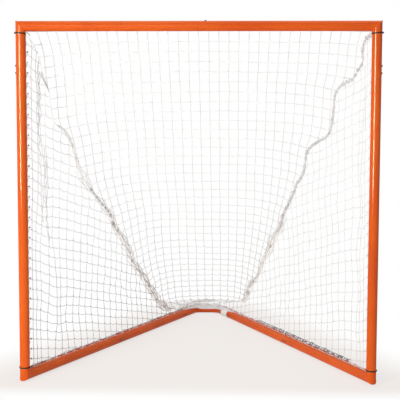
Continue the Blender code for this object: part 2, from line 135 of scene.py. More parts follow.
# The seam between the back and each side of the net: reach along the rail, then height.
SEAM = {
    -1: (
        (0.03, 1.766), (0.127, 1.737), (0.21, 1.667), (0.233, 1.596), (0.307, 1.49), (0.318, 1.396),
        (0.356, 1.322), (0.462, 1.291), (0.543, 1.208), (0.584, 1.13), (0.64, 1.033), (0.713, 0.979),
        (0.83, 0.892), (0.973, 0.80), (1.038, 0.705), (1.137, 0.641), (1.239, 0.525), (1.294, 0.45),
        (1.421, 0.37), (1.532, 0.264), (1.668, 0.151), (1.811, 0.085), (2.235, 0.075),
    ),
    1: (
        (0.03, 1.770), (0.131, 1.757), (0.195, 1.705), (0.208, 1.644), (0.235, 1.603), (0.288, 1.559),
        (0.431, 1.532), (0.492, 1.495), (0.505, 1.425), (0.512, 1.376), (0.53, 1.322), (0.56, 1.267),
        (0.656, 1.24), (0.80, 1.199), (0.842, 1.164), (0.86, 1.083), (0.899, 1.023), (0.981, 0.978),
        (1.003, 0.936), (1.093, 0.846), (1.165, 0.786), (1.202, 0.697), (1.319, 0.624), (1.361, 0.553),
        (1.48, 0.459), (1.542, 0.36), (1.673, 0.283), (1.716, 0.222), (1.806, 0.148), (2.235, 0.075),
    ),
}
# Where the right seam's cords swing back on themselves below the crossbar: reach, by height.
SWING = {1.705: 0.203, 1.644: 0.166}
# How thick each seam's braid looks, as part of its full size: reach, then part.
BRAID = {
    -1: ((0.3, 0.35), (0.7, 0.5), (0.85, 0.8), (1.84, 1.0), (1.93, 0.2)),
    1: ((1.76, 0.8), (1.84, 0.15)),
}
# Half the width of the gathered netting along each seam: reach, then half width.
SEAM_BAND = {
    -1: (
        (0, 0.004), (0.3, 0.005), (0.36, 0.007), (0.6, 0.015), (0.85, 0.021), (0.95, 0.025), (1.1, 0.022),
        (1.3, 0.029), (1.7, 0.031), (1.85, 0.025), (2.235, 0.015),
    ),
    1: (
        (0, 0.004), (0.45, 0.006), (0.8, 0.010), (1.1, 0.009), (1.17, 0.013), (1.22, 0.029), (1.42, 0.027),
        (1.48, 0.014), (1.56, 0.011), (1.64, 0.022), (1.8, 0.024), (2.235, 0.014),
    ),
}
# Where the lacing along each seam starts and ends, by reach, and how many points later each strand starts.
LACING_START = {-1: 0.8, 1: 0.6}
LACING_END = 1.86
LACING_STAGGER = 34
# Half the width of the hank of netting in each seam: reach, then half width.
HANK = {
    -1: (
        (0.38, 0.004), (0.45, 0.007), (0.62, 0.009), (0.65, 0.024), (0.72, 0.024), (0.76, 0.008),
        (0.84, 0.009), (0.88, 0.022), (0.95, 0.018), (1.02, 0.013), (1.1, 0.019), (1.16, 0.024),
        (1.24, 0.025), (1.3, 0.019), (1.5, 0.02), (1.75, 0.022), (1.82, 0.012), (1.87, 0.003),
    ),
    1: (
        (1.1, 0.004), (1.16, 0.009), (1.21, 0.022), (1.3, 0.018), (1.38, 0.024), (1.44, 0.015), (1.5, 0.008),
        (1.57, 0.01), (1.62, 0.021), (1.74, 0.024), (1.8, 0.015), (1.84, 0.004),
    ),
}
# How stout the hank's strands are, as part of its half width: reach, then part.
HANK_STOUT = {-1: ((1.2, 0.015), (1.5, 0.04)), 1: ((1.2, 0.015), (1.5, 0.022))}
# The greyed ties in each seam lie between these two reaches.
TIED = {-1: (0.74, 1.10), 1: (0.05, 1.2)}
# The knots that show dark along each seam: reach, turns and size.
SEAM_KNOTS = {
    -1: ((1.02, 3, 0.006), (1.27, 3, 0.006)),
    1: ((1.115, 4, 0.007), (1.16, 3, 0.006), (1.35, 4, 0.006), (1.63, 4, 0.006), (1.72, 2, 0.010)),
}
# Two taut cords in the left seam run between these points: reach, then height.
TAUT_ENDS = ((0.215, 1.592), (0.305, 1.49))
# The fold in each side of the net: its reach by height, and how far it draws in, drops and bulges.
FOLD = {
    -1: {
        "reach": (
            (0.1, 0.40), (0.35, 0.34), (0.63, 0.30), (0.9, 0.21), (1.0, 0.235), (1.3, 0.17), (1.7, 0.15),
        ),
        "gather": 0.03,
        "drop": 0.02,
        "bulge": 0.02,
    },
    1: {"reach": ((0.1, 0.16), (0.9, 0.12), (1.7, 0.09)), "gather": 0.01, "drop": 0.012, "bulge": 0.008},
}
# Columns of the left side that hang together in the fold behind the post: reach, then height.
FOLD_COLUMNS = (
    (
        (0.179, 1.65), (0.174, 1.572), (0.174, 1.495), (0.176, 1.392), (0.178, 1.298), (0.191, 1.183),
        (0.199, 1.105), (0.206, 0.973), (0.207, 0.867), (0.216, 0.803),
    ),
    ((0.205, 1.58), (0.2, 1.527), (0.2, 1.444), (0.199, 1.298)),
    ((0.247, 1.194), (0.244, 1.104), (0.249, 0.971), (0.249, 0.854), (0.263, 0.756), (0.275, 0.70)),
)
# The middle line of the back of the net: depth, then height.
BACK_TOP_Z = 1.782
BACK_MIDDLE = (
    (0.028, BACK_TOP_Z), (0.235, 1.582), (0.441, 1.362), (0.646, 1.148), (0.851, 0.937), (1.057, 0.724),
    (1.262, 0.506), (1.467, 0.306), (1.673, 0.165), (1.878, 0.12), (2.1, 0.054),
)
# The back's rows by height, as part of their usual step: closer low down, and wide apart at the foot.
BACK_ROWS = ((0.11, 1.9), (0.2, 1.3), (0.4, 0.85), (0.85, 1.03))
# How far the back's netting is drawn together by each seam, and the part of it that stays even: by height.
GATHER = {-1: ((0.3, 0.16), (0.7, 0.12), (1.3, 0.05)), 1: ((0.3, 0.20), (0.7, 0.18), (1.3, 0.05))}
EVEN = ((0.7, 0.42), (1.3, 0.72))

# One seed for the small wander of the netting, so that every run gives the same net.
noise.seed_set(4)

UP = Vector((0, 0, 1))
BACK = Vector((0, 1, 0))
RIGHT = Vector((1, 0, 0))
SIDES = {"left": -1, "right": 1}


def at(x, y, z):
    """A point given from the middle of the mouth's foot line."""
    return Vector((x, y + MOUTH_Y, z))


def rail_way(side):
    """Which way a rail runs, from its post to the rear."""
    return Vector((-side * (POST_X - REAR_X), REAR_Y, 0)).normalized()


def inward(side):
    """The level way into the goal, square to the rail of this side."""
    way = rail_way(side)
    return Vector((-side * way.y, side * way.x, 0))


def along_rail(side, reach):
    """A point in the middle of a rail, this far from its post."""
    return at(side * POST_X, 0, RAIL_Z) + rail_way(side) * reach


def reach_of(side, spot):
    """How far along the rail a point lies."""
    return (spot - along_rail(side, 0)).dot(rail_way(side))


def held(value):
    """The value held between nothing and one."""
    return min(1.0, max(0.0, value))


def swung(one, other, angle):
    """The first way, swung toward the other by this angle."""
    return one * math.cos(angle) + other * math.sin(angle)


def placed(spot, x_way, y_way, z_way):
    """The place of a piece at a spot, with its own three ways turned to these."""
    return Matrix.Translation(spot) @ Matrix((x_way, y_way, z_way)).transposed().to_4x4()


def way_at(line, number, span=1):
    """Which way a line runs at one of its points."""
    return (line[min(number + span, len(line) - 1)] - line[max(number - span, 0)]).normalized()


def read_off(table, place):
    """What a table of (place, value) rows says at this place."""
    places, values = zip(*table)
    return float(np.interp(place, places, values))


def read_back(table, value):
    """The place at which a table whose values fall says this value."""
    places, values = zip(*reversed(table))
    return float(np.interp(value, values, places))


def stray(point, size, period):
    """A small smooth wander, the same in every run."""
    return noise.noise_vector(point / period) * size


# Materials.


def linear(code):
    """A hex sRGB colour as the linear RGBA that the shader takes."""
    parts = [int(code[i:i + 2], 16) / 255 for i in (1, 3, 5)]
    return (*[c / 12.92 if c <= 0.04045 else ((c + 0.055) / 1.055) ** 2.4 for c in parts], 1)


def add(owner, kind, settings=None, links=None):
    """Adds a node. Settings are sockets, properties or a ramp's stops, and links say what feeds a socket."""
    tree = owner.node_tree
    node = tree.nodes.new(kind)
    for name, value in (settings or {}).items():
        if name == "stops":
            stops = node.color_ramp.elements
            for number, (position, code) in enumerate(value):
                stop = stops[number] if number < 2 else stops.new(position)
                stop.position = position
                stop.color = linear(code)
        elif isinstance(name, int) or name in node.inputs:
            node.inputs[name].default_value = value
        else:
            setattr(node, name, value)
    for name, (source, output) in (links or {}).items():
        tree.links.new(source.outputs[output], node.inputs[name])
    return node


def blank(name):
    """A material with no nodes yet."""
    material = bpy.data.materials.new(name)
    material.use_nodes = True
    material.node_tree.nodes.clear()
    return material


def powder_coated_steel():
    """Orange polyester powder coat on steel tube: an even, bright coat, soft gloss and faint orange peel."""
    material = blank("powder_coated_steel")
    place = {"Vector": (add(material, "ShaderNodeTexCoord"), "Object")}
    # Cloudy changes of film thickness, about 300 mm across, move the orange a little.
    cloud = add(material, "ShaderNodeTexNoise", {"Scale": 3.3, "Detail": 3.0}, place)
    oranges = {"stops": ((0.3, "#DC5514"), (0.5, "#E45D16"), (0.7, "#EA641A"))}
    coat = add(material, "ShaderNodeValToRGB", oranges, {"Fac": (cloud, "Fac")})
    # Rubbed, dusty patches 20 to 60 mm across dull the gloss.
    rub = add(material, "ShaderNodeTexNoise", {"Scale": 24.0, "Detail": 5.0, "Roughness": 0.6}, place)
    dulling = {"From Min": 0.35, "From Max": 0.7, "To Min": 0.24, "To Max": 0.40}
    gloss = add(material, "ShaderNodeMapRange", dulling, {"Value": (rub, "Fac")})
    # Orange peel about 2.5 mm across.
    peel = add(material, "ShaderNodeTexNoise", {"Scale": 400.0, "Detail": 1.0}, place)
    bump = add(material, "ShaderNodeBump", {"Strength": 0.12, "Distance": 0.0006}, {"Height": (peel, "Fac")})
    # The shader's coat is the flowed-out skin, which draws a narrow line of light down a tube.
    shader = add(
        material,
        "ShaderNodeBsdfPrincipled",
        {"IOR": 1.42, "Specular IOR Level": 0.0, "Coat Weight": 0.28, "Coat Roughness": 0.09},
        {"Base Color": (coat, "Color"), "Roughness": (gloss, "Result"), "Normal": (bump, "Normal")},
    )
    add(material, "ShaderNodeOutputMaterial", links={"Surface": (shader, "BSDF")})
    return material


def dark_zinc_plated_steel():
    """Zinc plated steel, passivated dark: a metal with small cloudy spangles and a soft shine."""
    material = blank("dark_zinc_plated_steel")
    place = {"Vector": (add(material, "ShaderNodeTexCoord"), "Object")}
    # Spangles 3 mm across.
    grain = add(material, "ShaderNodeTexVoronoi", {"Scale": 330.0}, place)
    greys = {"stops": ((0.1, "#2E2E30"), (0.6, "#47484B"))}
    tone = add(material, "ShaderNodeValToRGB", greys, {"Fac": (grain, "Distance")})
    # Handling haze about 10 mm across.
    haze = add(material, "ShaderNodeTexNoise", {"Scale": 90.0, "Detail": 4.0}, place)
    dulling = {"From Min": 0.3, "From Max": 0.7, "To Min": 0.28, "To Max": 0.5}
    gloss = add(material, "ShaderNodeMapRange", dulling, {"Value": (haze, "Fac")})
    surface = {"Base Color": (tone, "Color"), "Roughness": (gloss, "Result")}
    shader = add(material, "ShaderNodeBsdfPrincipled", {"Metallic": 1.0}, surface)
    add(material, "ShaderNodeOutputMaterial", links={"Surface": (shader, "BSDF")})
    return material


def moulded_black_nylon():
    """Moulded black nylon: near black with a dull sheen and a fine moulded grain."""
    material = blank("moulded_black_nylon")
    place = {"Vector": (add(material, "ShaderNodeTexCoord"), "Object")}
    # Grain about 0.6 mm across.
    grain = add(material, "ShaderNodeTexNoise", {"Scale": 1600.0, "Detail": 2.0}, place)
    blacks = {"stops": ((0.3, "#09090A"), (0.7, "#121214"))}
    tone = add(material, "ShaderNodeValToRGB", blacks, {"Fac": (grain, "Fac")})
    bump = add(material, "ShaderNodeBump", {"Strength": 0.2, "Distance": 0.0002}, {"Height": (grain, "Fac")})
    shader = add(
        material,
        "ShaderNodeBsdfPrincipled",
        {"Roughness": 0.6, "IOR": 1.4, "Specular IOR Level": 0.3},
        {"Base Color": (tone, "Color"), "Normal": (bump, "Normal")},
    )
    add(material, "ShaderNodeOutputMaterial", links={"Surface": (shader, "BSDF")})
    return material


# The two colour sockets of a Mix node and its colour output, which share their names with others.
MIX_FIRST = 6
MIX_SECOND = 7
MIX_RESULT = 2


def polyester_cord(name, pale, dark, hem_shade, lay):
    """Twisted white polyester: soft matt cord, a little dusty in patches, darker low down as painted shade.
    """
    material = blank(name)
    place = {"Vector": (add(material, "ShaderNodeTexCoord"), "Object")}
    # Dust and handling in patches about 150 mm across.
    dust = add(material, "ShaderNodeTexNoise", {"Scale": 6.5, "Detail": 5.0}, place)
    whites = {"stops": ((0.35, dark), (0.6, pale))}
    clean = add(material, "ShaderNodeValToRGB", whites, {"Fac": (dust, "Fac")})
    # Painted shade, full at the hem and gone a metre up.
    parts = add(material, "ShaderNodeSeparateXYZ", links=place)
    height = add(
        material,
        "ShaderNodeMapRange",
        {"interpolation_type": "SMOOTHSTEP", "From Min": 0.05, "From Max": 1.0, "To Min": 1.0, "To Max": 0.0},
        {"Value": (parts, "Z")},
    )
    tone = add(
        material,
        "ShaderNodeMix",
        {"data_type": "RGBA", MIX_SECOND: linear(hem_shade)},
        {"Factor": (height, "Result"), MIX_FIRST: (clean, "Color")},
    )
    # The lay of the cord, drawn at its own width so that it shows.
    bands = {"wave_type": "BANDS", "bands_direction": "DIAGONAL", "Scale": lay, "Distortion": 1.0}
    twist = add(material, "ShaderNodeTexWave", bands, place)
    bump = add(material, "ShaderNodeBump", {"Strength": 0.35, "Distance": 0.0004}, {"Height": (twist, "Fac")})
    shader = add(
        material,
        "ShaderNodeBsdfPrincipled",
        {"Roughness": 0.75, "Sheen Weight": 0.7},
        {"Base Color": (tone, MIX_RESULT), "Normal": (bump, "Normal")},
    )
    add(material, "ShaderNodeOutputMaterial", links={"Surface": (shader, "BSDF")})
    return material


PAINT = powder_coated_steel()
DARK_ZINC = dark_zinc_plated_steel()
NYLON = moulded_black_nylon()
NET_CORD = polyester_cord("twisted_net_cord", "#F6F6F8", "#ECECEF", "#CDCDD1", 120.0)
# Lit and shaded copies of the net's cord: the left side's is much darker low down, as painted shade, and the
# right side's a little lighter, as painted light.
SIDE_CORD = {
    -1: polyester_cord("net_cord_left_painted_shade", "#F6F6F8", "#EEEEF1", "#9C9CA1", 120.0),
    1: polyester_cord("net_cord_right_painted_light", "#F6F6F8", "#EEEEF1", "#DADADD", 120.0),
}
GREY_CORD = polyester_cord("greyed_seam_cord", "#E2E0E2", "#C9C7CA", "#DEDAD6", 100.0)
SEAM_CORD = polyester_cord("braided_seam_cord", "#FAF6F1", "#F0E9E1", "#F4EEE8", 60.0)
LACE_CORD = polyester_cord("twisted_lacing_cord", "#F8F8F8", "#EEEDEE", "#F6F5F5", 100.0)
# A dark cord that paints the shade along the right rail's hem and beside the left post.
SHADE_CORD = polyester_cord("shade_lacing_cord", "#8B8590", "#5D5864", "#6E6975", 100.0)
# A greyer cord for the seam's dark knots and two taut cords, whose darker tone is painted shade.
KNOT_CORD = polyester_cord("painted_shade_seam_knots", "#B9B5B9", "#9A969C", "#AFAAA8", 100.0)
TAN_CORD = polyester_cord("tan_lacing_cord", "#B98F68", "#A07A55", "#A07A55", 100.0)


def dress(obj, material, slot, *nodes):
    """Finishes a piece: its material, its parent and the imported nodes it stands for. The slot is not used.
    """
    obj.data.materials.append(material)
    bpy.context.scene.collection.objects.link(obj)
    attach(obj, "root")
    if nodes:
        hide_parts(*nodes)
    return obj


def solid(name, shape, material, slot, *nodes, crease=SHARP_ANGLE):
    """Makes a smooth shaded object of a finished shape."""
    bmesh.ops.recalc_face_normals(shape, faces=shape.faces)
    mesh = bpy.data.meshes.new(name)
    shape.to_mesh(mesh)
    shape.free()
    mesh.shade_smooth()
    mesh.set_sharp_from_angle(angle=math.radians(crease))
    return dress(bpy.data.objects.new(name, mesh), material, slot, *nodes)


def cords(name, lines, radius, material, *nodes, closed=False, sides_step=1, radii=None):
    """Round cords along these lines, as one piece."""
    curve = bpy.data.curves.new(name, "CURVE")
    curve.dimensions = "3D"
    curve.bevel_depth = radius
    curve.bevel_resolution = sides_step
    curve.use_fill_caps = not closed
    for line in lines:
        spline = curve.splines.new("POLY")
        spline.points.add(len(line) - 1)
        spline.points.foreach_set("co", [value for point in line for value in (*point, 1.0)])
        if radii:
            spline.points.foreach_set("radius", radii[:len(line)])
        spline.use_cyclic_u = closed
    slot = "orange_paint" if material == PAINT else "white_cord"
    return dress(bpy.data.objects.new(name, curve), material, slot, *nodes)


# The painted tubes.


def edges_of(verts):
    """The edges at these vertices, each once and in the same order every run."""
    return list(dict.fromkeys(edge for vert in verts for edge in vert.link_edges))


def slid(spot, way, centre, cut):
    """A point slid along a tube's way onto the plane through the centre that is square to the cut's way."""
    return spot + way * ((centre - spot).dot(cut) / way.dot(cut))


def ring(shape, centre, way, level, radius, cut):
    """One closed ring round a tube, slid along it onto the cut plane. Returns its edges."""
    place = placed(centre, level, way.cross(level), way)
    made = bmesh.ops.create_circle(shape, segments=TUBE_SIDES, radius=radius, matrix=place)["verts"]
    for vert in made:
        vert.co = slid(vert.co, way, centre, cut)
    return edges_of(made)


def open_end(centre, way):
    """Rings that turn a tube's cut end into its bore, from the inside out: centre, then radius."""
    return [
        (centre + way * BORE_SHOWN, BORE_RADIUS),
        (centre, BORE_RADIUS),
        (centre, TUBE_RADIUS - END_LIP),
        (centre + way * END_LIP, TUBE_RADIUS),
    ]


def tube_piece(name, points, level, mitre=None):
    """A tube through the points. Its ends are open, or closed on a mitre plane at the first point."""
    ways = [(b - a).normalized() for a, b in zip(points, points[1:])]
    start, end = ways[0], ways[-1]
    if mitre is None:
        stations = [(centre, start, radius, start) for centre, radius in open_end(points[0], start)]
    else:
        stations = [(points[0], start, TUBE_RADIUS, mitre)]
    for point, before, after in zip(points[1:-1], ways, ways[1:]):
        stations.append((point, after, TUBE_RADIUS, before + after))
    stations += [(centre, end, radius, end) for centre, radius in reversed(open_end(points[-1], -end))]
    shape = bmesh.new()
    rings = []
    for centre, way, radius, cut in stations:
        side = level if len(points) == 2 else way.cross(UP).normalized()
        rings.append(ring(shape, centre, way, side, radius, cut))
    for one, other in zip(rings, rings[1:]):
        bmesh.ops.bridge_loops(shape, edges=one + other)
    for last in (rings[0], rings[-1]):
        bmesh.ops.edgeloop_fill(shape, edges=last)
    return solid(name, shape, PAINT, "orange_paint", name)


def bend(corner, before, after, steps=14):
    """Points round a level bend, from one straight to the next."""
    turn = before.angle(after)
    sense = 1 if before.cross(after).z > 0 else -1
    start = corner - before * (BEND_RADIUS * math.tan(turn / 2))
    centre = start + UP.cross(before) * (sense * BEND_RADIUS)
    angles = [sense * turn * step / steps for step in range(steps + 1)]
    return [centre + Matrix.Rotation(angle, 3, "Z") @ (start - centre) for angle in angles]


def weld_bead(name, centre, cut, way, level):
    """A low weld round a mitre, its ripples about 5 mm apart, dressed smooth under the paint."""
    line = []
    for number in range(WELD_POINTS):
        out = swung(level, way.cross(level), math.tau * number / WELD_POINTS)
        spot = slid(centre + out * (TUBE_RADIUS - WELD_SUNK), way, centre, cut)
        spot.z = max(spot.z, WELD_LOWEST)
        line.append(spot)
    radii = [1 + 0.12 * math.sin(number * 2.1) for number in range(WELD_POINTS)]
    return cords(name, [line], WELD_RADIUS, PAINT, closed=True, sides_step=2, radii=radii)


for label, side in SIDES.items():
    top = at(side * POST_X, 0, BAR_Z)
    foot = at(side * POST_X, 0, RAIL_Z)
    above_seam = at(side * POST_X, 0, POST_SEAM_Z + SEAM_GAP)
    below_seam = at(side * POST_X, 0, POST_SEAM_Z - SEAM_GAP)
    before_seam = along_rail(side, RAIL_SEAM_REACH - SEAM_GAP)
    behind_seam = along_rail(side, RAIL_SEAM_REACH + SEAM_GAP)
    rear_seam = along_rail(side, REAR_SEAM_REACH - SEAM_GAP)
    top_cut = (UP - RIGHT * side).normalized()
    foot_cut = (UP - rail_way(side)).normalized()
    tube_piece("crossbar_" + label, [top, at(side * SEAM_GAP, 0, BAR_Z)], BACK, top_cut)
    tube_piece("drop_leg_" + label, [top, above_seam], BACK, top_cut)
    tube_piece("post_" + label, [foot, below_seam], inward(side), foot_cut)
    tube_piece("rail_front_" + label, [foot, before_seam], inward(side), foot_cut)
    tube_piece("rail_rear_" + label, [behind_seam, rear_seam], inward(side))
    weld_bead("weld_top_" + label, top, top_cut, UP, BACK)
    weld_bead("weld_foot_" + label, foot, foot_cut, UP, inward(side))

REAR_BEND = {
    -1: bend(at(-REAR_X, REAR_Y, RAIL_Z), rail_way(-1), RIGHT),
    1: bend(at(REAR_X, REAR_Y, RAIL_Z), RIGHT, -rail_way(1)),
}
rear_ends = {side: along_rail(side, REAR_SEAM_REACH + SEAM_GAP) for side in (-1, 1)}
tube_piece("rear_connector", [rear_ends[-1], *REAR_BEND[-1], *REAR_BEND[1], rear_ends[1]], UP)

for name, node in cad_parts.items():
    if name.startswith(("sleeve_", "lacing_rod_")):
        node.data.materials.clear()
        node.data.materials.append(DARK_ZINC if name.startswith("sleeve_") else PAINT)

# The screws, a pan head with a cross recess each.


def screw_shape():
    """A pan head screw that stands on the origin."""
    shape = bmesh.new()
    dots = [shape.verts.new((radius, 0, height)) for radius, height in SCREW_OUTLINE]
    edges = [shape.edges.new(pair) for pair in zip(dots, dots[1:])]
    bmesh.ops.spin(
        shape, geom=dots + edges, cent=(0, 0, 0), axis=UP, angle=math.tau, steps=SCREW_SIDES, use_merge=True
    )
    bmesh.ops.remove_doubles(shape, verts=shape.verts, dist=0.00002)
    bmesh.ops.recalc_face_normals(shape, faces=shape.faces)
    return shape


def cross_shape():
    """The two crossed blocks that a driver's recess is cut with."""
    shape = bmesh.new()
    block = Matrix.Translation((0, 0, CROSS_Z)) @ Matrix.Diagonal((*CROSS_SIZE, 1))
    for turn in (0, math.pi / 2):
        bmesh.ops.create_cube(shape, size=1, matrix=Matrix.Rotation(turn, 4, "Z") @ block)
    return shape


def holder(name, shape):
    """An object of a shape that isn't one of the goal's pieces."""
    mesh = bpy.data.meshes.new(name)
    shape.to_mesh(mesh)
    shape.free()
    obj = bpy.data.objects.new(name, mesh)
    bpy.context.scene.collection.objects.link(obj)
    return obj


blank_screw = holder("blank_screw", screw_shape())
recess = holder("recess", cross_shape())
cut = blank_screw.modifiers.new("recess", "BOOLEAN")
cut.operation = "DIFFERENCE"
cut.solver = "EXACT"
cut.use_self = True
cut.object = recess
screw_mesh = bpy.data.meshes.new_from_object(blank_screw.evaluated_get(bpy.context.evaluated_depsgraph_get()))
bpy.data.objects.remove(blank_screw)
bpy.data.objects.remove(recess)

screws = [("screw_crossbar", at(TOP_SCREW_OFFSET, 0, BAR_Z), UP)]
for label, side in SIDES.items():
    for order, reach in (("near", SCREW_NEAR), ("far", SCREW_FAR)):
        screws += [
            (f"screw_post_{order}_{label}", at(side * POST_X, 0, POST_SEAM_Z + reach), RIGHT * side),
            (f"screw_rail_{order}_{label}", along_rail(side, RAIL_SEAM_REACH - reach), inward(side)),
            (f"screw_rear_{order}_{label}", along_rail(side, REAR_SEAM_REACH + reach), inward(side)),
        ]
for number, (name, centre, out) in enumerate(screws):
    mesh = screw_mesh.copy()
    seat = Matrix.Translation(centre + out * (TUBE_RADIUS + SEAM_GAP))
    stand = out.to_track_quat("Z", "Y").to_matrix().to_4x4()
    mesh.transform(seat @ stand @ Matrix.Rotation(number * 0.7, 4, "Z"))
    mesh.shade_smooth()
    mesh.set_sharp_from_angle(angle=math.radians(SHARP_ANGLE))
    dress(bpy.data.objects.new("pan_head_" + name, mesh), DARK_ZINC, "zinc_steel", name)

# The cable ties.


def tie_band(shape, tilt):
    """The ribbed band of a cable tie, a closed loop of four edges round the origin."""
    loops = []
    outer = TIE_RADIUS + TIE_THICKNESS
    for radius, height in ((TIE_RADIUS, -1), (outer, -1), (outer, 1), (TIE_RADIUS, 1)):
        made = bmesh.ops.create_circle(shape, segments=TIE_SIDES, radius=radius)["verts"]
        for number, vert in enumerate(made):
            rib = TIE_RIB if radius > TIE_RADIUS and number % 2 else 0
            lift = height * TIE_HALF_WIDTH + vert.co.x * math.tan(tilt)
            vert.co = vert.co.normalized() * (radius + rib) + UP * lift
        loops.append(edges_of(made))
    for one, other in zip(loops, loops[1:] + loops[:1]):
        bmesh.ops.bridge_loops(shape, edges=one + other)


def tie_tail(place):
    """The loose end of a cable tie, which narrows to its tip, curls outward and droops a little."""
    tail = bmesh.new()
    bmesh.ops.create_grid(tail, x_segments=12, y_segments=1, size=0.5)
    for vert in tail.verts:
        part = vert.co.x + 0.5
        width = TIE_TAIL_WIDTH * (1 - 0.5 * max(0, part - 0.8) / 0.2)
        vert.co = Vector((0.004 * part ** 2, part * TIE_TAIL_LENGTH, vert.co.y * width - 0.002 * part ** 2))
    bmesh.ops.transform(tail, matrix=place, verts=tail.verts)
    bmesh.ops.solidify(tail, geom=tail.faces[:], thickness=TIE_TAIL_THICKNESS)
    return tail


def tie(name, centre, out, hand, tilt):
    """A ribbed band drawn round the tube on a slight slant, with its rounded head and loose tail outside."""
    shape = bmesh.new()
    tie_band(shape, tilt)
    bmesh.ops.transform(shape, matrix=placed(centre, out, UP.cross(out), UP), verts=shape.verts)
    side = UP.cross(out) * hand
    head = centre + UP * (TIE_RADIUS * math.tan(tilt)) + out * (TIE_RADIUS + TIE_HEAD_OUT)
    place = placed(head, out, side, UP) @ Matrix.Diagonal((*TIE_HEAD_SIZE, 1))
    made = bmesh.ops.create_cube(shape, size=1, matrix=place)["verts"]
    edges = edges_of(made)
    bmesh.ops.bevel(
        shape, geom=edges, offset=TIE_HEAD_EDGE, segments=3, profile=0.5, affect="EDGES", material=-1
    )
    solid(name + "_band", shape, NYLON, "black_nylon", name)
    root = head + out * 0.0008 + side * 0.002
    solid(name + "_tail", tie_tail(placed(root, out, side, UP)), NYLON, "black_nylon")


for label, side in SIDES.items():
    tie("cable_tie_top_" + label, at(side * POST_X, 0, TOP_TIE_Z), RIGHT * side, side, 0.1)
    tie("cable_tie_foot_" + label, at(side * POST_X, 0, FOOT_TIE_Z), -inward(side), side, -0.03)

# The net. Each post's rod lies behind it, turned outward.
ROD_OFF = {side: swung(BACK, RIGHT * -side, POST_ROD_ANGLE) * ROD_OFFSET for side in (-1, 1)}
# The reaches between which a side's netting lies, from just behind its rod to just short of the rail's end.
SIDE_START = ROD_OFF[1].dot(rail_way(1)) + 0.0055
SIDE_STOP = RAIL_LENGTH - 0.06
# How far above the hem the foot of a side's column is taken to hang.
FOOT_ABOVE_HEM = 0.05


def seam_height(side, reach):
    """Height of the seam above this reach along the rail."""
    return read_off(SEAM[side], reach)


def side_place(side, reach, height):
    """A point of a side of the net: laced to the post's rod in front, and above the rail's rod behind it."""
    post_shift = ROD_OFF[side].dot(inward(side))
    rail_shift = -ROD_OFFSET * math.cos(RAIL_ROD_ANGLE)
    shift = read_off(((SIDE_START, post_shift), (0.2, rail_shift)), reach)
    place = along_rail(side, reach) + inward(side) * shift
    place.z = height
    return place


def side_point(side, column, row):
    """Where a knot of the side's netting hangs, from its column's number and its row's height at the post."""
    rest = CLOSE_COLUMN_STEP * min(column, CLOSE_COLUMNS) + SIDE_COLUMN_STEP * max(0, column - CLOSE_COLUMNS)
    # A row falls toward the rear, and the columns spread with height.
    height = row - rest * (0.16 + 0.11 * min(row, 0.6))
    rest *= 1 + 0.15 * held((height - 0.3) / 1.2)
    # The netting is free to move away from the post's rod and above the hem.
    free = min(1.0, rest / 0.10)
    low = held((height - BORDER_Z) / 0.2)
    fold = FOLD[side]
    near = (SIDE_START + rest - read_off(fold["reach"], height)) / 0.06
    reach = SIDE_START + rest - fold["gather"] * free * low * (0.5 + 0.5 * math.tanh(near))
    place = side_place(side, reach, height - fold["drop"] * low * math.exp(-(near * 0.7) ** 2))
    place += inward(side) * (fold["bulge"] * math.exp(-near ** 2) * low)
    # It wanders in wide waves, and more in small ones by the slack seam.
    slack = 1.0 - held((seam_height(side, reach) - height) / 0.35)
    wander = stray(place, 0.012 * free * low, 0.22)
    wander += stray(place * 1.3, (0.005 + 0.006 * slack) * free * low, 0.05)
    place += inward(side) * wander.x + UP * (wander.z * 0.8) + rail_way(side) * (wander.y * 0.8)
    # Low down toward the rear the slack meshes pull out of square, one column against the next.
    pull = 0.007 * low * held((reach - 0.5) / 0.7)
    odd = (column + round(row / SIDE_ROW_STEP[side])) % 2
    return place + rail_way(side) * (pull if odd else -pull)


def fill_between(knots, sag, down=-UP):
    """A cord through the knots, which hangs between each two by one depth or by each span's own."""
    line = [knots[0]]
    sags = sag if isinstance(sag, list) else [sag] * len(knots)
    for one, other, depth in zip(knots, knots[1:], sags):
        short = min(1.0, (other - one).length / 0.03)
        for step in range(1, STEPS_PER_CELL + 1):
            part = step / STEPS_PER_CELL
            line.append(one.lerp(other, part) + down * (depth * 4 * part * (1 - part) * short))
    return line


def knots_piece(name, spots, material, size=1.0):
    """The knots of a panel, one small flattened lump at each crossing."""
    shape = bmesh.new()
    for number, spot in enumerate(spots):
        turn = Matrix.Rotation(number * 1.9, 4, "Z") @ Matrix.Rotation(number * 0.8, 4, "X")
        place = Matrix.Translation(spot) @ turn @ Matrix.Diagonal((1.25, 0.9, 0.8, 1))
        bmesh.ops.create_icosphere(shape, subdivisions=1, radius=KNOT_RADIUS * size, matrix=place)
    return solid(name, shape, material, "white_cord", crease=180)


def row_end(side, last, ahead):
    """Where a row meets the hem or the seam, on its way from its last knot to the next column."""
    gap = seam_height(side, reach_of(side, last)) - last.z
    gap_ahead = seam_height(side, reach_of(side, ahead)) - ahead.z
    to_hem = (last.z - BORDER_Z) / max(0.001, last.z - ahead.z)
    to_seam = gap / max(0.001, gap - gap_ahead)
    return last.lerp(ahead, min([1.0] + [part for part in (to_hem, to_seam) if part > 0]))


def side_column(side, column, own):
    """The knots of a column of a side, from the hem up to the seam if it is near."""
    reach = reach_of(side, side_point(side, column, BORDER_Z + FOOT_ABOVE_HEM))
    knots = [side_place(side, reach, HEM_Z)] + own
    reach = reach_of(side, knots[-1])
    tip = side_place(side, reach, seam_height(side, reach))
    if tip.z - knots[-1].z < 1.5 * SIDE_ROW_STEP[side]:
        knots.append(tip)
    return knots


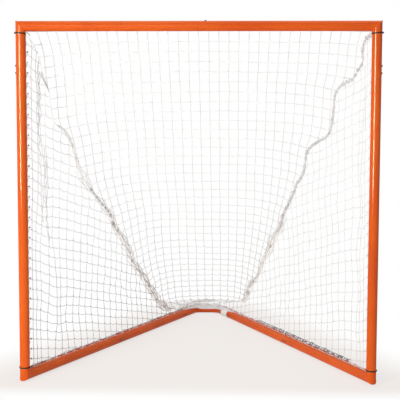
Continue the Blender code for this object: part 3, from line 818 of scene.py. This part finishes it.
def side_panel(label, side):
    """One side of the net, a triangle: columns from the rail up to the seam, and rows that fall rearward."""
    columns = range(32)
    levels = [HEM_Z + SIDE_ROW_STEP[side] * (row + 1) for row in range(40)]
    # The knots, by column and row, wherever one hangs clear of the hem, the seam and the rail's end.
    grid = {}
    for column in columns:
        for row, level in enumerate(levels):
            spot = side_point(side, column, level)
            reach = reach_of(side, spot)
            if BORDER_Z + 0.008 < spot.z < seam_height(side, reach) - 0.004 and reach < SIDE_STOP:
                grid[column, row] = spot
    lines = []
    hem = []
    for column in columns:
        if reach_of(side, side_point(side, column, BORDER_Z + FOOT_ABOVE_HEM)) > SIDE_STOP:
            continue
        own = [grid[column, row] for row in range(len(levels)) if (column, row) in grid]
        knots = side_column(side, column, own)
        hem.append(knots[0])
        lines.append(fill_between(knots, 0.0015 * (1 if column % 2 else -1), rail_way(side)))
    lines.append(fill_between(hem, 0.0))
    for row, level in enumerate(levels):
        numbers = [column for column in columns if (column, row) in grid]
        if numbers:
            knots = [grid[column, row] for column in numbers]
            knots.append(row_end(side, knots[-1], side_point(side, numbers[-1] + 1, level)))
            sag = 0.0065 + 0.003 * noise.noise(Vector((side * 3.1, row * 0.7, 0.3)))
            lines.append(fill_between(knots, sag))
    cords("net_side_strands_" + label, lines, SIDE_STRAND_RADIUS, SIDE_CORD[side], "net_side_" + label)
    knots_piece("net_side_knots_" + label, list(grid.values()) + hem, SIDE_CORD[side], 0.85)


def half_width(side, height):
    """How far out the seam is from the middle at this height, and its depth."""
    spot = side_place(side, read_back(SEAM[side], min(height, SEAM[side][0][1])), height)
    return abs(spot.x), spot.y - MOUTH_Y


def drawn_in(side, own, height, width):
    """Where a column of the back hangs: even in the middle, and closer together by the seam."""
    gather, even = read_off(GATHER[side], height), read_off(EVEN, height)
    if own <= even * width:
        return own
    part = (own - even * width) / ((1 - even) * width)
    return width * (even + (1 - even) * (part - gather * part * part))


def droop(height, part):
    """How far a row hangs below its own height in the middle, at this part of the way to the seam."""
    mouth = held((BAR_Z - height) / 0.15) * held((height - 0.1) / 0.3)
    low = held((1.7 - height) / 0.8) * held((height - 0.08) / 0.3)
    return 0.025 * part ** 5 * mouth + 0.06 * part ** 3 * low


def most_own(side, height):
    """The place, across the back's own netting, at which a row from this height meets the seam."""
    height -= droop(height, 1)
    gather, even = read_off(GATHER[side], height), read_off(EVEN, height)
    # The part at which drawn_in gives the whole width: part - gather * part * part is one.
    part = (1 - math.sqrt(1 - 4 * gather)) / (2 * gather)
    return half_width(side, height)[0] * (even + (1 - even) * part)


def seam_slack(height, part, start):
    """How slack the back is from this part of its half width outward, which is most low down."""
    return held((part - start) / 0.4) * held((1.3 - height) / 0.5)


def back_point(own, height):
    """Where a point of the back's netting hangs, from its place across and its row's height in the middle."""
    side = -1 if own < 0 else 1
    # The droop depends on the place and the place on the droop, so they are worked out in four rounds.
    level = height
    for _ in range(4):
        width, side_depth = half_width(side, level)
        across = min(width, drawn_in(side, abs(own), level, width))
        part = across / width
        level = height - droop(height, part)
    depth = read_back(BACK_MIDDLE, level)
    depth += (side_depth - depth) * part ** 2.2
    place = at(side * across, depth, level)
    # Free away from the seams, the crossbar and the rear, and wandering more where it is slack.
    free = held((1 - part) / 0.1) * held((BACK_TOP_Z - height) / 0.1) * held((level - 0.06) / 0.2)
    slack = seam_slack(height, part, 0.5)
    wander = stray(place, 0.010 * free, 0.35) + stray(place * 1.7, (0.004 + 0.006 * slack) * free, 0.07)
    return place + Vector((wander.x * 0.7, wander.y, wander.z * 0.7))


def back_rows():
    """Heights of the back's rows down its middle line."""
    depths, heights = (np.array(values) for values in zip(*BACK_MIDDLE))
    runs = np.concatenate([[0.0], np.cumsum(np.hypot(np.diff(depths), np.diff(heights)))])
    rows = [0.0]
    while rows[-1] < runs[-1] - 0.03:
        height = float(np.interp(rows[-1], runs, heights))
        rows.append(rows[-1] + BACK_ROW_STEP * read_off(BACK_ROWS, height))
    return [float(np.interp(row, runs, heights)) for row in rows[:-1]] + [float(heights[-1]) + 0.002]


def column_foot(own, low, high):
    """The height at which a column of the back ends in its seam, between the rows below and above."""
    for _ in range(20):
        half = (low + high) / 2
        if abs(own) < most_own(-1 if own < 0 else 1, half):
            high = half
        else:
            low = half
    return (low + high) / 2


def row_sags(knots, row, height):
    """How far a row of the back hangs between each two of its knots: not at all at the crossbar."""
    even = 0.0022 + 0.0018 * (1.78 - height) + 0.001 * noise.noise(Vector((0.4, row * 0.6, 1.3)))
    sags = []
    for one, other in zip(knots, knots[1:]):
        side = -1 if one.x + other.x < 0 else 1
        slack = seam_slack(height, abs(one.x + other.x) / 2 / half_width(side, height)[0], 0.55)
        sags.append((even + slack * (0.009 if side < 0 else 0.005)) if row else 0.0)
    return sags


def back_panel():
    """The back of the net, cut along both seams: parallel columns, and level rows that droop at the seams."""
    heights = back_rows()
    owns = [COLUMN_STEP * number for number in range(-COLUMNS_EACH_WAY, COLUMNS_EACH_WAY + 1)]
    grid = {}
    for column, own in enumerate(owns):
        for row, height in enumerate(heights):
            if abs(own) < most_own(-1 if own < 0 else 1, height) - 0.004:
                grid[column, row] = back_point(own, height)
    lines = []
    for column, own in enumerate(owns):
        rows = [row for row in range(len(heights)) if (column, row) in grid]
        if len(rows) < 2:
            continue
        knots = [grid[column, row] for row in rows]
        if rows[-1] < len(heights) - 1:
            knots.append(back_point(own, column_foot(own, heights[rows[-1] + 1], heights[rows[-1]])))
        lines.append(fill_between(knots, 0.001, RIGHT))
    for row, height in enumerate(heights):
        knots = [grid[column, row] for column in range(len(owns)) if (column, row) in grid]
        if knots:
            left, right = (back_point(side * most_own(side, height), height) for side in (-1, 1))
            knots = [left, *knots, right]
            lines.append(fill_between(knots, row_sags(knots, row, height)))
    cords("net_back_strands", lines, STRAND_RADIUS, NET_CORD, "net_back")
    knots_piece("net_back_knots", list(grid.values()), NET_CORD)


back_panel()
for label, side in SIDES.items():
    side_panel(label, side)

# The seams.


def along(points, step):
    """Points an even step apart along a line."""
    spots = np.array([tuple(point) for point in points])
    runs = np.concatenate([[0.0], np.cumsum(np.linalg.norm(np.diff(spots, axis=0), axis=1))])
    places = np.linspace(0.0, runs[-1], max(2, int(round(runs[-1] / step)) + 1))
    return [Vector([float(np.interp(place, runs, spots[:, axis])) for axis in range(3)]) for place in places]


def softened(points, turns=3):
    """The line with its corners rounded off."""
    for _ in range(turns):
        middle = [(one + point * 2 + other) / 4 for one, point, other in zip(points, points[1:], points[2:])]
        points = [points[0], *middle, points[-1]]
    return points


def wrapped(points, radius, pitch, step=0.004, start=0.0):
    """A cord that turns round a line."""
    line = along(points, step)
    cord = []
    for number, spot in enumerate(line):
        way = way_at(line, number)
        across = way.cross(UP)
        across = across.normalized() if across.length > 0.1 else way.cross(BACK).normalized()
        turn = math.tau * number * step / pitch + start
        cord.append(spot + swung(across, across.cross(way), turn) * radius)
    return cord


def ribbon(path, widths, across, count, seed):
    """Cords that run along a path beside each other, and swing over one another as gathered netting does."""
    lines = []
    for strand in range(count):
        lane = -1 + 2 * (strand + 0.5) / count
        shift = Vector((strand * 7.3, seed * 2.1, strand * 1.7))
        line = []
        for number, (spot, width, side) in enumerate(zip(path, widths, across)):
            swing = 0.4 * math.sin(number * BAND_STEP * math.tau / 0.13 + strand * 2.4 + seed)
            wander = stray(spot + shift, 1.0, 0.09)
            depth = side.cross(UP).normalized()
            sideways = side * (width * (lane * 0.9 + swing * 0.6 + wander.x * 0.5))
            line.append(spot + sideways + depth * (wander.y * 0.003))
        lines.append(line)
    return lines


def twisted(path, size, count, pitch, seed):
    """Strands twisted together along a path, in a rope that is thick at each of its knots, 45 mm apart."""
    lines = []
    for strand in range(count):
        line = []
        for number, spot in enumerate(path):
            way = way_at(path, number)
            across = way.cross(BACK).normalized()
            lump = 0.45 + 0.75 * (0.5 + 0.5 * math.cos(math.tau * number * FINE_STEP / 0.045)) ** 2
            lump *= 1 + 0.7 * noise.noise(spot / 0.06 + Vector((seed, 0, 0)))
            turn = math.tau * (number * FINE_STEP / pitch + strand / count)
            line.append(spot + swung(across, across.cross(way), turn) * (size * lump))
        lines.append(line)
    return lines


def hank(name, path, halves, radii, facing, count):
    """Netting drawn up into a slack, flat hank along a path, with light between its strands."""
    lines = []
    for strand in range(count):
        lane = -1 + 2 * (strand + 0.5) / count
        shift = Vector((strand * 7.3, strand * 1.7, 0.4))
        line = []
        for number, (spot, half) in enumerate(zip(path, halves)):
            way = way_at(path, number, 2)
            across = way.cross(facing).normalized()
            wander = stray(spot + shift, 1.0, 0.05)
            sideways = across * (half * (lane * (1 + 0.5 * wander.z) + 0.5 * wander.x))
            line.append(spot + sideways + across.cross(way) * (0.004 * wander.y))
        lines.append(line)
    # A curve's radii are parts of its bevel depth, so the metres given here are shared by a whole centimetre.
    whole = 0.01
    return cords(name, lines, whole, SEAM_CORD, sides_step=2, radii=[radius / whole for radius in radii])


def seam_path(side):
    """The middle line of a seam, from the crossbar to the rear."""
    points = [side_place(side, SWING.get(height, reach), height) for reach, height in SEAM[side]]
    return softened(along(points, 0.02), 2)


def seam_facing(side):
    """The way that the flat of a seam's gathered netting faces."""
    return (inward(side) * 0.6 - BACK + UP * 0.3).normalized()


def seam_braid(label, side, path):
    """The braided cord that joins the back to a side."""
    core = [spot + stray(spot, 0.004, 0.05) for spot in along(path, STEP)]
    radii = [read_off(BRAID[side], reach_of(side, spot)) for spot in core]
    name = "seam_cord_braid_" + label
    cords(name, [core], SEAM_CORD_RADIUS, SEAM_CORD, "seam_cord_" + label, sides_step=2, radii=radii)


def seam_hank(label, side, path):
    """The slack netting drawn up along a seam."""
    first, last = HANK[side][0][0], HANK[side][-1][0]
    drawn_up = [spot for spot in along(path, STEP) if first < reach_of(side, spot) < last]
    halves = []
    radii = []
    for spot in drawn_up:
        reach = reach_of(side, spot)
        half = read_off(HANK[side], reach) * (1.25 + 0.3 * noise.noise(spot / 0.05))
        halves.append(half)
        radii.append((0.001 if reach > 1.0 else 0.0007) + half * read_off(HANK_STOUT[side], reach))
    hank("seam_hank_" + label, drawn_up, halves, radii, seam_facing(side), count=6)


def seam_rope(side, fine):
    """The rope that the right seam's netting is twisted into, as far as half way along the rail."""
    upper = [spot for spot in fine if reach_of(side, spot) < 1.25]
    rope = twisted(upper, size=0.0082, count=6, pitch=0.06, seed=3.0)
    cords("seam_rope", rope, SEAM_LACE_RADIUS, NET_CORD)


def seam_lacing(label, side, path):
    """The loose lacing that runs with the gathered netting."""
    line = along(path, BAND_STEP)
    reaches = [reach_of(side, spot) for spot in line]
    widths = [read_off(SEAM_BAND[side], reach) for reach in reaches]
    facing = seam_facing(side)
    across = [way_at(line, number, 3).cross(facing).normalized() for number in range(len(line))]
    first = next(number for number, reach in enumerate(reaches) if reach > LACING_START[side])
    last = next(number for number, reach in enumerate(reaches) if reach > LACING_END)
    strands = ribbon(line, widths, across, count=3, seed=side)
    gathered = [strand[first + LACING_STAGGER * number : last] for number, strand in enumerate(strands)]
    cords("seam_lacing_" + label, gathered, SEAM_LACE_RADIUS, SEAM_CORD)


def seam_ties(label, side, fine):
    """The greyed cord that ties the edges together, knotted at each mesh."""
    start, stop = TIED[side]
    tied = []
    number = 2
    while number < len(fine) - 4:
        chance = 0.5 + 0.5 * math.sin(number * 2.7 + side)
        if start < reach_of(side, fine[number]) < stop:
            turns = 2 + int(3 * chance)
            run = fine[number - 1 : number + 2 + int(2 * chance)]
            size = 0.0035 + 0.004 * (0.5 + 0.5 * math.sin(number * 1.3))
            cord = wrapped(run, size, 0.011 / turns, step=0.0005, start=number)
            tied.append([spot + stray(spot, 0.003, 0.01) for spot in cord])
        number += 5 + int(5 * chance)
    cords("seam_ties_" + label, tied, SEAM_TIE_RADIUS, GREY_CORD)


def seam_knots(label, side, fine):
    """The knots that show darkest, and two taut cords at the top of the left seam."""
    knots = []
    for reach, turns, size in SEAM_KNOTS[side]:
        near = min(range(len(fine)), key=lambda number: abs(reach_of(side, fine[number]) - reach))
        knots.append(wrapped(fine[near - 1 : near + 3], size, 0.02 / turns, step=0.0006))
    if side < 0:
        taut = along([side_place(side, *end) for end in TAUT_ENDS], FINE_STEP)
        for shift in (-0.006, 0.005):
            cord = []
            for number, spot in enumerate(taut):
                off = inward(side) * (shift * (1 - number / len(taut)))
                cord.append(spot + off + stray(spot, 0.003, 0.04))
            knots.append(cord)
    # The knots and taut cords are drawn in the darker knot cord, as painted shade.
    cords("seam_knots_" + label, knots, SEAM_KNOT_RADIUS, KNOT_CORD)


for label, side in SIDES.items():
    path = seam_path(side)
    fine = along(path, FINE_STEP)
    seam_braid(label, side, path)
    seam_hank(label, side, path)
    if side > 0:
        seam_rope(side, fine)
    seam_lacing(label, side, path)
    seam_ties(label, side, fine)
    seam_knots(label, side, fine)


def side_fold():
    """The netting that hangs together in the fold behind the left post, two strands to each column."""
    lines = []
    for number, points in enumerate(FOLD_COLUMNS):
        path = softened(along([side_place(-1, *point) for point in points], 0.02), 2)
        for strand in range(2):
            shift = Vector((number * 3.1, strand * 5.7, 2.2))
            lines.append([spot + inward(-1) * 0.006 + stray(spot + shift, 0.014, 0.035) for spot in path])
    cords("side_fold_left", lines, SIDE_STRAND_RADIUS, SIDE_CORD[-1])


side_fold()

# The lacing that holds each border to its rod, with the gathered hem beside it.


def rod_lacing(name, node, ends, pitch):
    """The cord that laces a border of the net to the rod between these ends."""
    cords(name, [wrapped(ends, LACING_TURN, pitch)], LACE_RADIUS, LACE_CORD, node)


bar_off = swung(BACK, -UP, POST_ROD_ANGLE) * ROD_OFFSET
bar_ends = [at(side * (POST_X - ROD_END_SPACE), 0, BAR_Z) + bar_off for side in (-1, 1)]
rod_lacing("crossbar_lacing", "lacing_cord_crossbar", bar_ends, COLUMN_STEP)
for label, side in SIDES.items():
    foot = at(side * POST_X, 0, 0) + ROD_OFF[side]
    post_ends = [foot + UP * (RAIL_Z + 2 * ROD_END_SPACE), foot + UP * (BAR_Z - ROD_END_SPACE)]
    rod_lacing("post_lacing_" + label, "lacing_cord_post_" + label, post_ends, SIDE_ROW_STEP[side])


def row_ties(label, side):
    """The knot that ties each row's end to its post, just clear of the tube."""
    ties = []
    for row in range(1, 32):
        spot = side_point(side, 0, HEM_Z + SIDE_ROW_STEP[side] * row)
        if spot.z < BAR_Z - 0.12:
            spot = Vector((side * (POST_X - 0.0270), spot.y, spot.z))
            size = 0.0026 + 0.0009 * math.sin(row * 2.9) - 0.0005 * (spot.z > 1.3)
            ends = [spot - UP * 0.003, spot + UP * 0.003]
            ties.append(wrapped(ends, size, 0.003, step=0.0004, start=row * 1.1))
    # The left post's ties are in the dark cord, as painted shade, and the right post's in white.
    cords("post_row_ties_" + label, ties, ROW_TIE_RADIUS, SHADE_CORD if side < 0 else LACE_CORD)


for label, side in SIDES.items():
    row_ties(label, side)


def rail_rod(side, reach):
    """A point of the rod that runs above a rail, on its inner side."""
    return along_rail(side, reach) + swung(-inward(side), UP, RAIL_ROD_ANGLE) * ROD_OFFSET


def base_lacing():
    """The lacing and the gathered hem, down the left rail, round the rear and up the right rail."""
    reaches = (ROD_END_SPACE, 0.8, 1.6, 2.12)
    rear_off = swung(BACK, UP, RAIL_ROD_ANGLE) * ROD_OFFSET
    line = [rail_rod(-1, reach) for reach in reaches]
    line += [at(x, REAR_Y, RAIL_Z) + rear_off for x in (-0.07, 0.07)]
    line += [rail_rod(1, reach) for reach in reversed(reaches)]
    line = softened(along(line, 0.01), 3)
    hem = []
    for strand in range(2):
        shift = Vector((strand * 5.1, strand * 3.3, 4.2))
        hem.append([spot + UP * 0.005 + stray(spot + shift, 0.012, 0.06) for spot in line])
    cords("base_lacing", [wrapped(line, LACING_TURN, 0.097)], BASE_LACE_RADIUS, LACE_CORD, "lacing_cord_base")
    cords("gathered_hem", hem, HEM_RADIUS, LACE_CORD)


# Points to one turn of a hitch or of the lashing, turns of each, and the number of hitches.
TURN_POINTS = 24
HITCH_TURNS = 2
LASHING_TURNS = 27
HITCH_COUNT = 19
# How far each turn of the lashing lies from the last.
LASHING_PITCH = 0.0040


def hem_hitches():
    """Dark hitches that hold the hem down to the right rail, one at each column, as painted shade."""
    hitches = []
    for number in range(HITCH_COUNT):
        reach = 0.30 + 0.056 * number + 0.014 * math.sin(number * 2.3)
        centre = rail_rod(1, reach) + UP * (0.009 + 0.004 * math.sin(number * 1.7))
        size = 0.0072 + 0.0022 * math.sin(number * 4.1)
        hitch = []
        for step in range(TURN_POINTS + 1):
            part = step / TURN_POINTS
            out = swung(inward(1), UP, math.tau * HITCH_TURNS * part)
            hitch.append(centre + out * size + rail_way(1) * (0.012 * (part - 0.5)))
        hitches.append(hitch)
    spiral = [rail_rod(1, reach) + UP * 0.009 for reach in (0.28, 1.55)]
    hitches.append(wrapped(spiral, 0.0085, 0.031))
    cords("hem_hitches", hitches, HITCH_RADIUS, SHADE_CORD)


base_lacing()
hem_hitches()

# The netting left over at the rear.


def gathered_roll():
    """The roll of netting along the left end of the rear bar."""
    points = [
        along_rail(-1, 1.93) + UP * 0.042 - inward(-1) * 0.006,
        along_rail(-1, 2.06) + UP * 0.046 - inward(-1) * 0.004,
        at(-0.075, REAR_Y - 0.012, RAIL_Z + 0.052),
        at(-0.01, REAR_Y - 0.016, RAIL_Z + 0.064),
        at(0.045, REAR_Y - 0.014, RAIL_Z + 0.058),
    ]
    path = along(softened(along(points, 0.01), 3), STEP)
    last = len(path) - 1
    halves = [0.015 * min(1.0, 0.3 + number / 16, 0.25 + (last - number) / 8) for number in range(len(path))]
    radii = [0.001 + half * 0.05 for half in halves]
    hank("rear_gathered_roll", path, halves, radii, UP * 0.3 - BACK, count=5)


# The strands of the border folded over the rear bar, and the highest one's angle over level, in degrees.
BORDER_STRANDS = 9
BORDER_TOP_ANGLE = 98


def border_fold():
    """The border folded down over the inner face of the rear bar, in strands side by side."""
    path = along([along_rail(-1, 2.0), *REAR_BEND[-1], *REAR_BEND[1], along_rail(1, 1.93)], STEP)
    lines = []
    for strand in range(BORDER_STRANDS):
        shift = Vector((strand * 3.7, 6.1, strand * 1.3))
        line = []
        for number, spot in enumerate(path):
            front = way_at(path, number).cross(UP)
            # The lowest strand rises to the others at both ends of the fold.
            lowest = 14 + 72 * max(0.0, 1 - number / 32) + 62 * max(0.0, 1 - (len(path) - 1 - number) / 34)
            angle = lowest + (BORDER_TOP_ANGLE - lowest) * strand / (BORDER_STRANDS - 1)
            turn = math.radians(angle) + stray(spot + shift, 0.12, 0.08).x
            line.append(spot + swung(front, UP, turn) * (TUBE_RADIUS + 0.0026))
        lines.append(line)
    cords("rear_border_fold", lines, BORDER_STRAND_RADIUS, LACE_CORD, sides_step=2)


def rear_lashing():
    """The lashing round the right end of the bend, flattened where it meets the ground."""
    line = []
    for step in range(TURN_POINTS * LASHING_TURNS):
        out = swung(inward(1), UP, math.tau * step / TURN_POINTS)
        spot = along_rail(1, 2.003 + LASHING_PITCH * step / TURN_POINTS) + out * (TUBE_RADIUS + LACE_RADIUS)
        spot.z = max(spot.z, LACE_RADIUS + 0.0004)
        line.append(spot)
    cords("rear_lashing", [line], BASE_LACE_RADIUS, LACE_CORD)


def tan_lace_end():
    """The loose tan lace end beside the top left tie."""
    start = at(-POST_X, 0, TOP_TIE_Z) + Vector((0.0255, -0.014, 0.001))
    steps = ((0, 0, 0), (0.009, -0.003, 0.002), (0.019, 0.001, -0.004), (0.024, 0.004, -0.013))
    line = softened([start + Vector(step) for step in steps], 1)
    cords("tan_lace_end", [line], TAN_LACE_RADIUS, TAN_CORD)


gathered_roll()
border_fold()
rear_lashing()
tan_lace_end()

# The studio: a pale floor that keeps the shadow, a white background, soft lamps and the camera.


def background_rays(owner):
    """One for the rays that show the background: straight to the camera, in a gloss or through glass."""
    path = add(owner, "ShaderNodeLightPath")
    last = (path, "Is Camera Ray")
    for ray in ("Is Glossy Ray", "Is Transmission Ray"):
        last = (add(owner, "ShaderNodeMath", {"operation": "MAXIMUM"}, {0: last, 1: (path, ray)}), "Value")
    return last


# The share of plain white in the paper just round the goal, where the rest of it takes the shadow.
PAPER_SHARE = 0.70


def paper_floor():
    """Matt off-white paper, which runs out to plain white a little way round the goal and keeps a shadow."""
    material = blank("matt_white_paper")
    paper = add(material, "ShaderNodeBsdfPrincipled", {"Base Color": linear("#EAE6E3"), "Roughness": 0.9})
    place = {"Vector": (add(material, "ShaderNodeTexCoord"), "Object")}
    parts = add(material, "ShaderNodeSeparateXYZ", links=place)
    # How far a spot is outside the goal's footprint: beside a rail, before the mouth, or behind the rear.
    slope = (POST_X - REAR_X) / REAR_Y
    out = add(material, "ShaderNodeMath", {"operation": "ABSOLUTE"}, {0: (parts, "X")})
    lean = {"operation": "MULTIPLY_ADD", 1: slope}
    beside = add(material, "ShaderNodeMath", lean, {0: (parts, "Y"), 2: (out, "Value")})
    edge = POST_X + MOUTH_Y * slope
    rear = MOUTH_Y + REAR_Y
    fades = []
    for source, near, far in (
        ((beside, "Value"), edge + 0.12, edge + 0.6),
        ((parts, "Y"), MOUTH_Y - 0.08, MOUTH_Y - 0.36),
        ((parts, "Y"), rear + 0.1, rear + 0.6),
    ):
        span = {"interpolation_type": "SMOOTHSTEP", "From Min": near, "From Max": far, "To Min": PAPER_SHARE}
        fades.append((add(material, "ShaderNodeMapRange", span, {"Value": source}), "Result"))
    fade = fades[0]
    for other in fades[1:]:
        fade = (add(material, "ShaderNodeMath", {"operation": "MAXIMUM"}, {0: fade, 1: other}), "Value")
    seen = add(material, "ShaderNodeMath", {"operation": "MULTIPLY"}, {0: fade, 1: background_rays(material)})
    whites = {"stops": ((PAPER_SHARE, "#FCF8F5"), (1.0, "#FFFFFF"))}
    tone = add(material, "ShaderNodeValToRGB", whites, {"Fac": fade})
    white = add(material, "ShaderNodeEmission", {"Strength": 1.0}, {"Color": (tone, "Color")})
    mixed = add(material, "ShaderNodeMixShader", links={0: (seen, 0), 1: (paper, 0), 2: (white, 0)})
    add(material, "ShaderNodeOutputMaterial", links={"Surface": (mixed, 0)})
    return material


floor_shape = bmesh.new()
floor_place = Matrix.Translation((0, 20, -0.001))
bmesh.ops.create_grid(floor_shape, x_segments=1, y_segments=1, size=30, matrix=floor_place)
floor = holder("floor", floor_shape)
floor.data.materials.append(paper_floor())

world = bpy.data.worlds.new("studio")
bpy.context.scene.world = world
world.use_nodes = True
world.node_tree.nodes.clear()
lit = add(world, "ShaderNodeBackground", {"Color": (1, 1, 1, 1), "Strength": 0.24})
white = add(world, "ShaderNodeBackground", {"Color": (1, 1, 1, 1), "Strength": 1.0})
mixed = add(world, "ShaderNodeMixShader", links={0: background_rays(world), 1: (lit, 0), 2: (white, 0)})
add(world, "ShaderNodeOutputWorld", links={"Surface": (mixed, 0)})


def lamp(name, place, aim, width, height, power, tint="#FFFFFF", spreads=True):
    """A soft rectangular lamp turned to a point. One that doesn't spread shows only in what is glossy."""
    light = bpy.data.lights.new(name, "AREA")
    light.shape = "RECTANGLE"
    light.size = width
    light.size_y = height
    light.energy = power
    light.color = linear(tint)[:3]
    obj = bpy.data.objects.new(name, light)
    obj.visible_diffuse = spreads
    turn = (Vector(aim) - Vector(place)).to_track_quat("-Z", "Y")
    obj.matrix_world = Matrix.Translation(place) @ turn.to_matrix().to_4x4()
    bpy.context.scene.collection.objects.link(obj)


MIDDLE = (0, 0, 0.9)
lamp("key", (-3.4, -6.0, 1.9), MIDDLE, width=1.0, height=2.8, power=172)
# The narrow, warm line of light down each tube.
lamp("strip", (-3.4, -6.0, 2.0), MIDDLE, width=1.5, height=2.8, power=1350, tint="#FFE6B4", spreads=False)
lamp("fill", (-1.8, -6.6, 2.0), MIDDLE, width=3.6, height=2.4, power=78)
lamp("top", (0.4, 0.4, 5.0), (0, 0.3, 0), width=4.0, height=4.0, power=104)

# The camera, where the photograph's was. Its angles are in radians.
camera = bpy.data.cameras.new("camera")
camera.sensor_width = 36
camera.lens = 90
camera.shift_y = 0.0732
yaw, pitch, roll = 0.0312, -0.0892, 0.00262
forward = Vector((-math.sin(yaw) * math.cos(pitch), math.cos(yaw) * math.cos(pitch), math.sin(pitch)))
level = forward.cross(UP).normalized()
above = level.cross(forward)
camera_object = bpy.data.objects.new("camera", camera)
spot = at(0.1704, -5.0467, 1.2388)
camera_object.matrix_world = placed(spot, swung(level, above, roll), swung(above, -level, roll), -forward)
bpy.context.scene.collection.objects.link(camera_object)
bpy.context.scene.camera = camera_object
bpy.context.scene.view_settings.view_transform = "Standard"
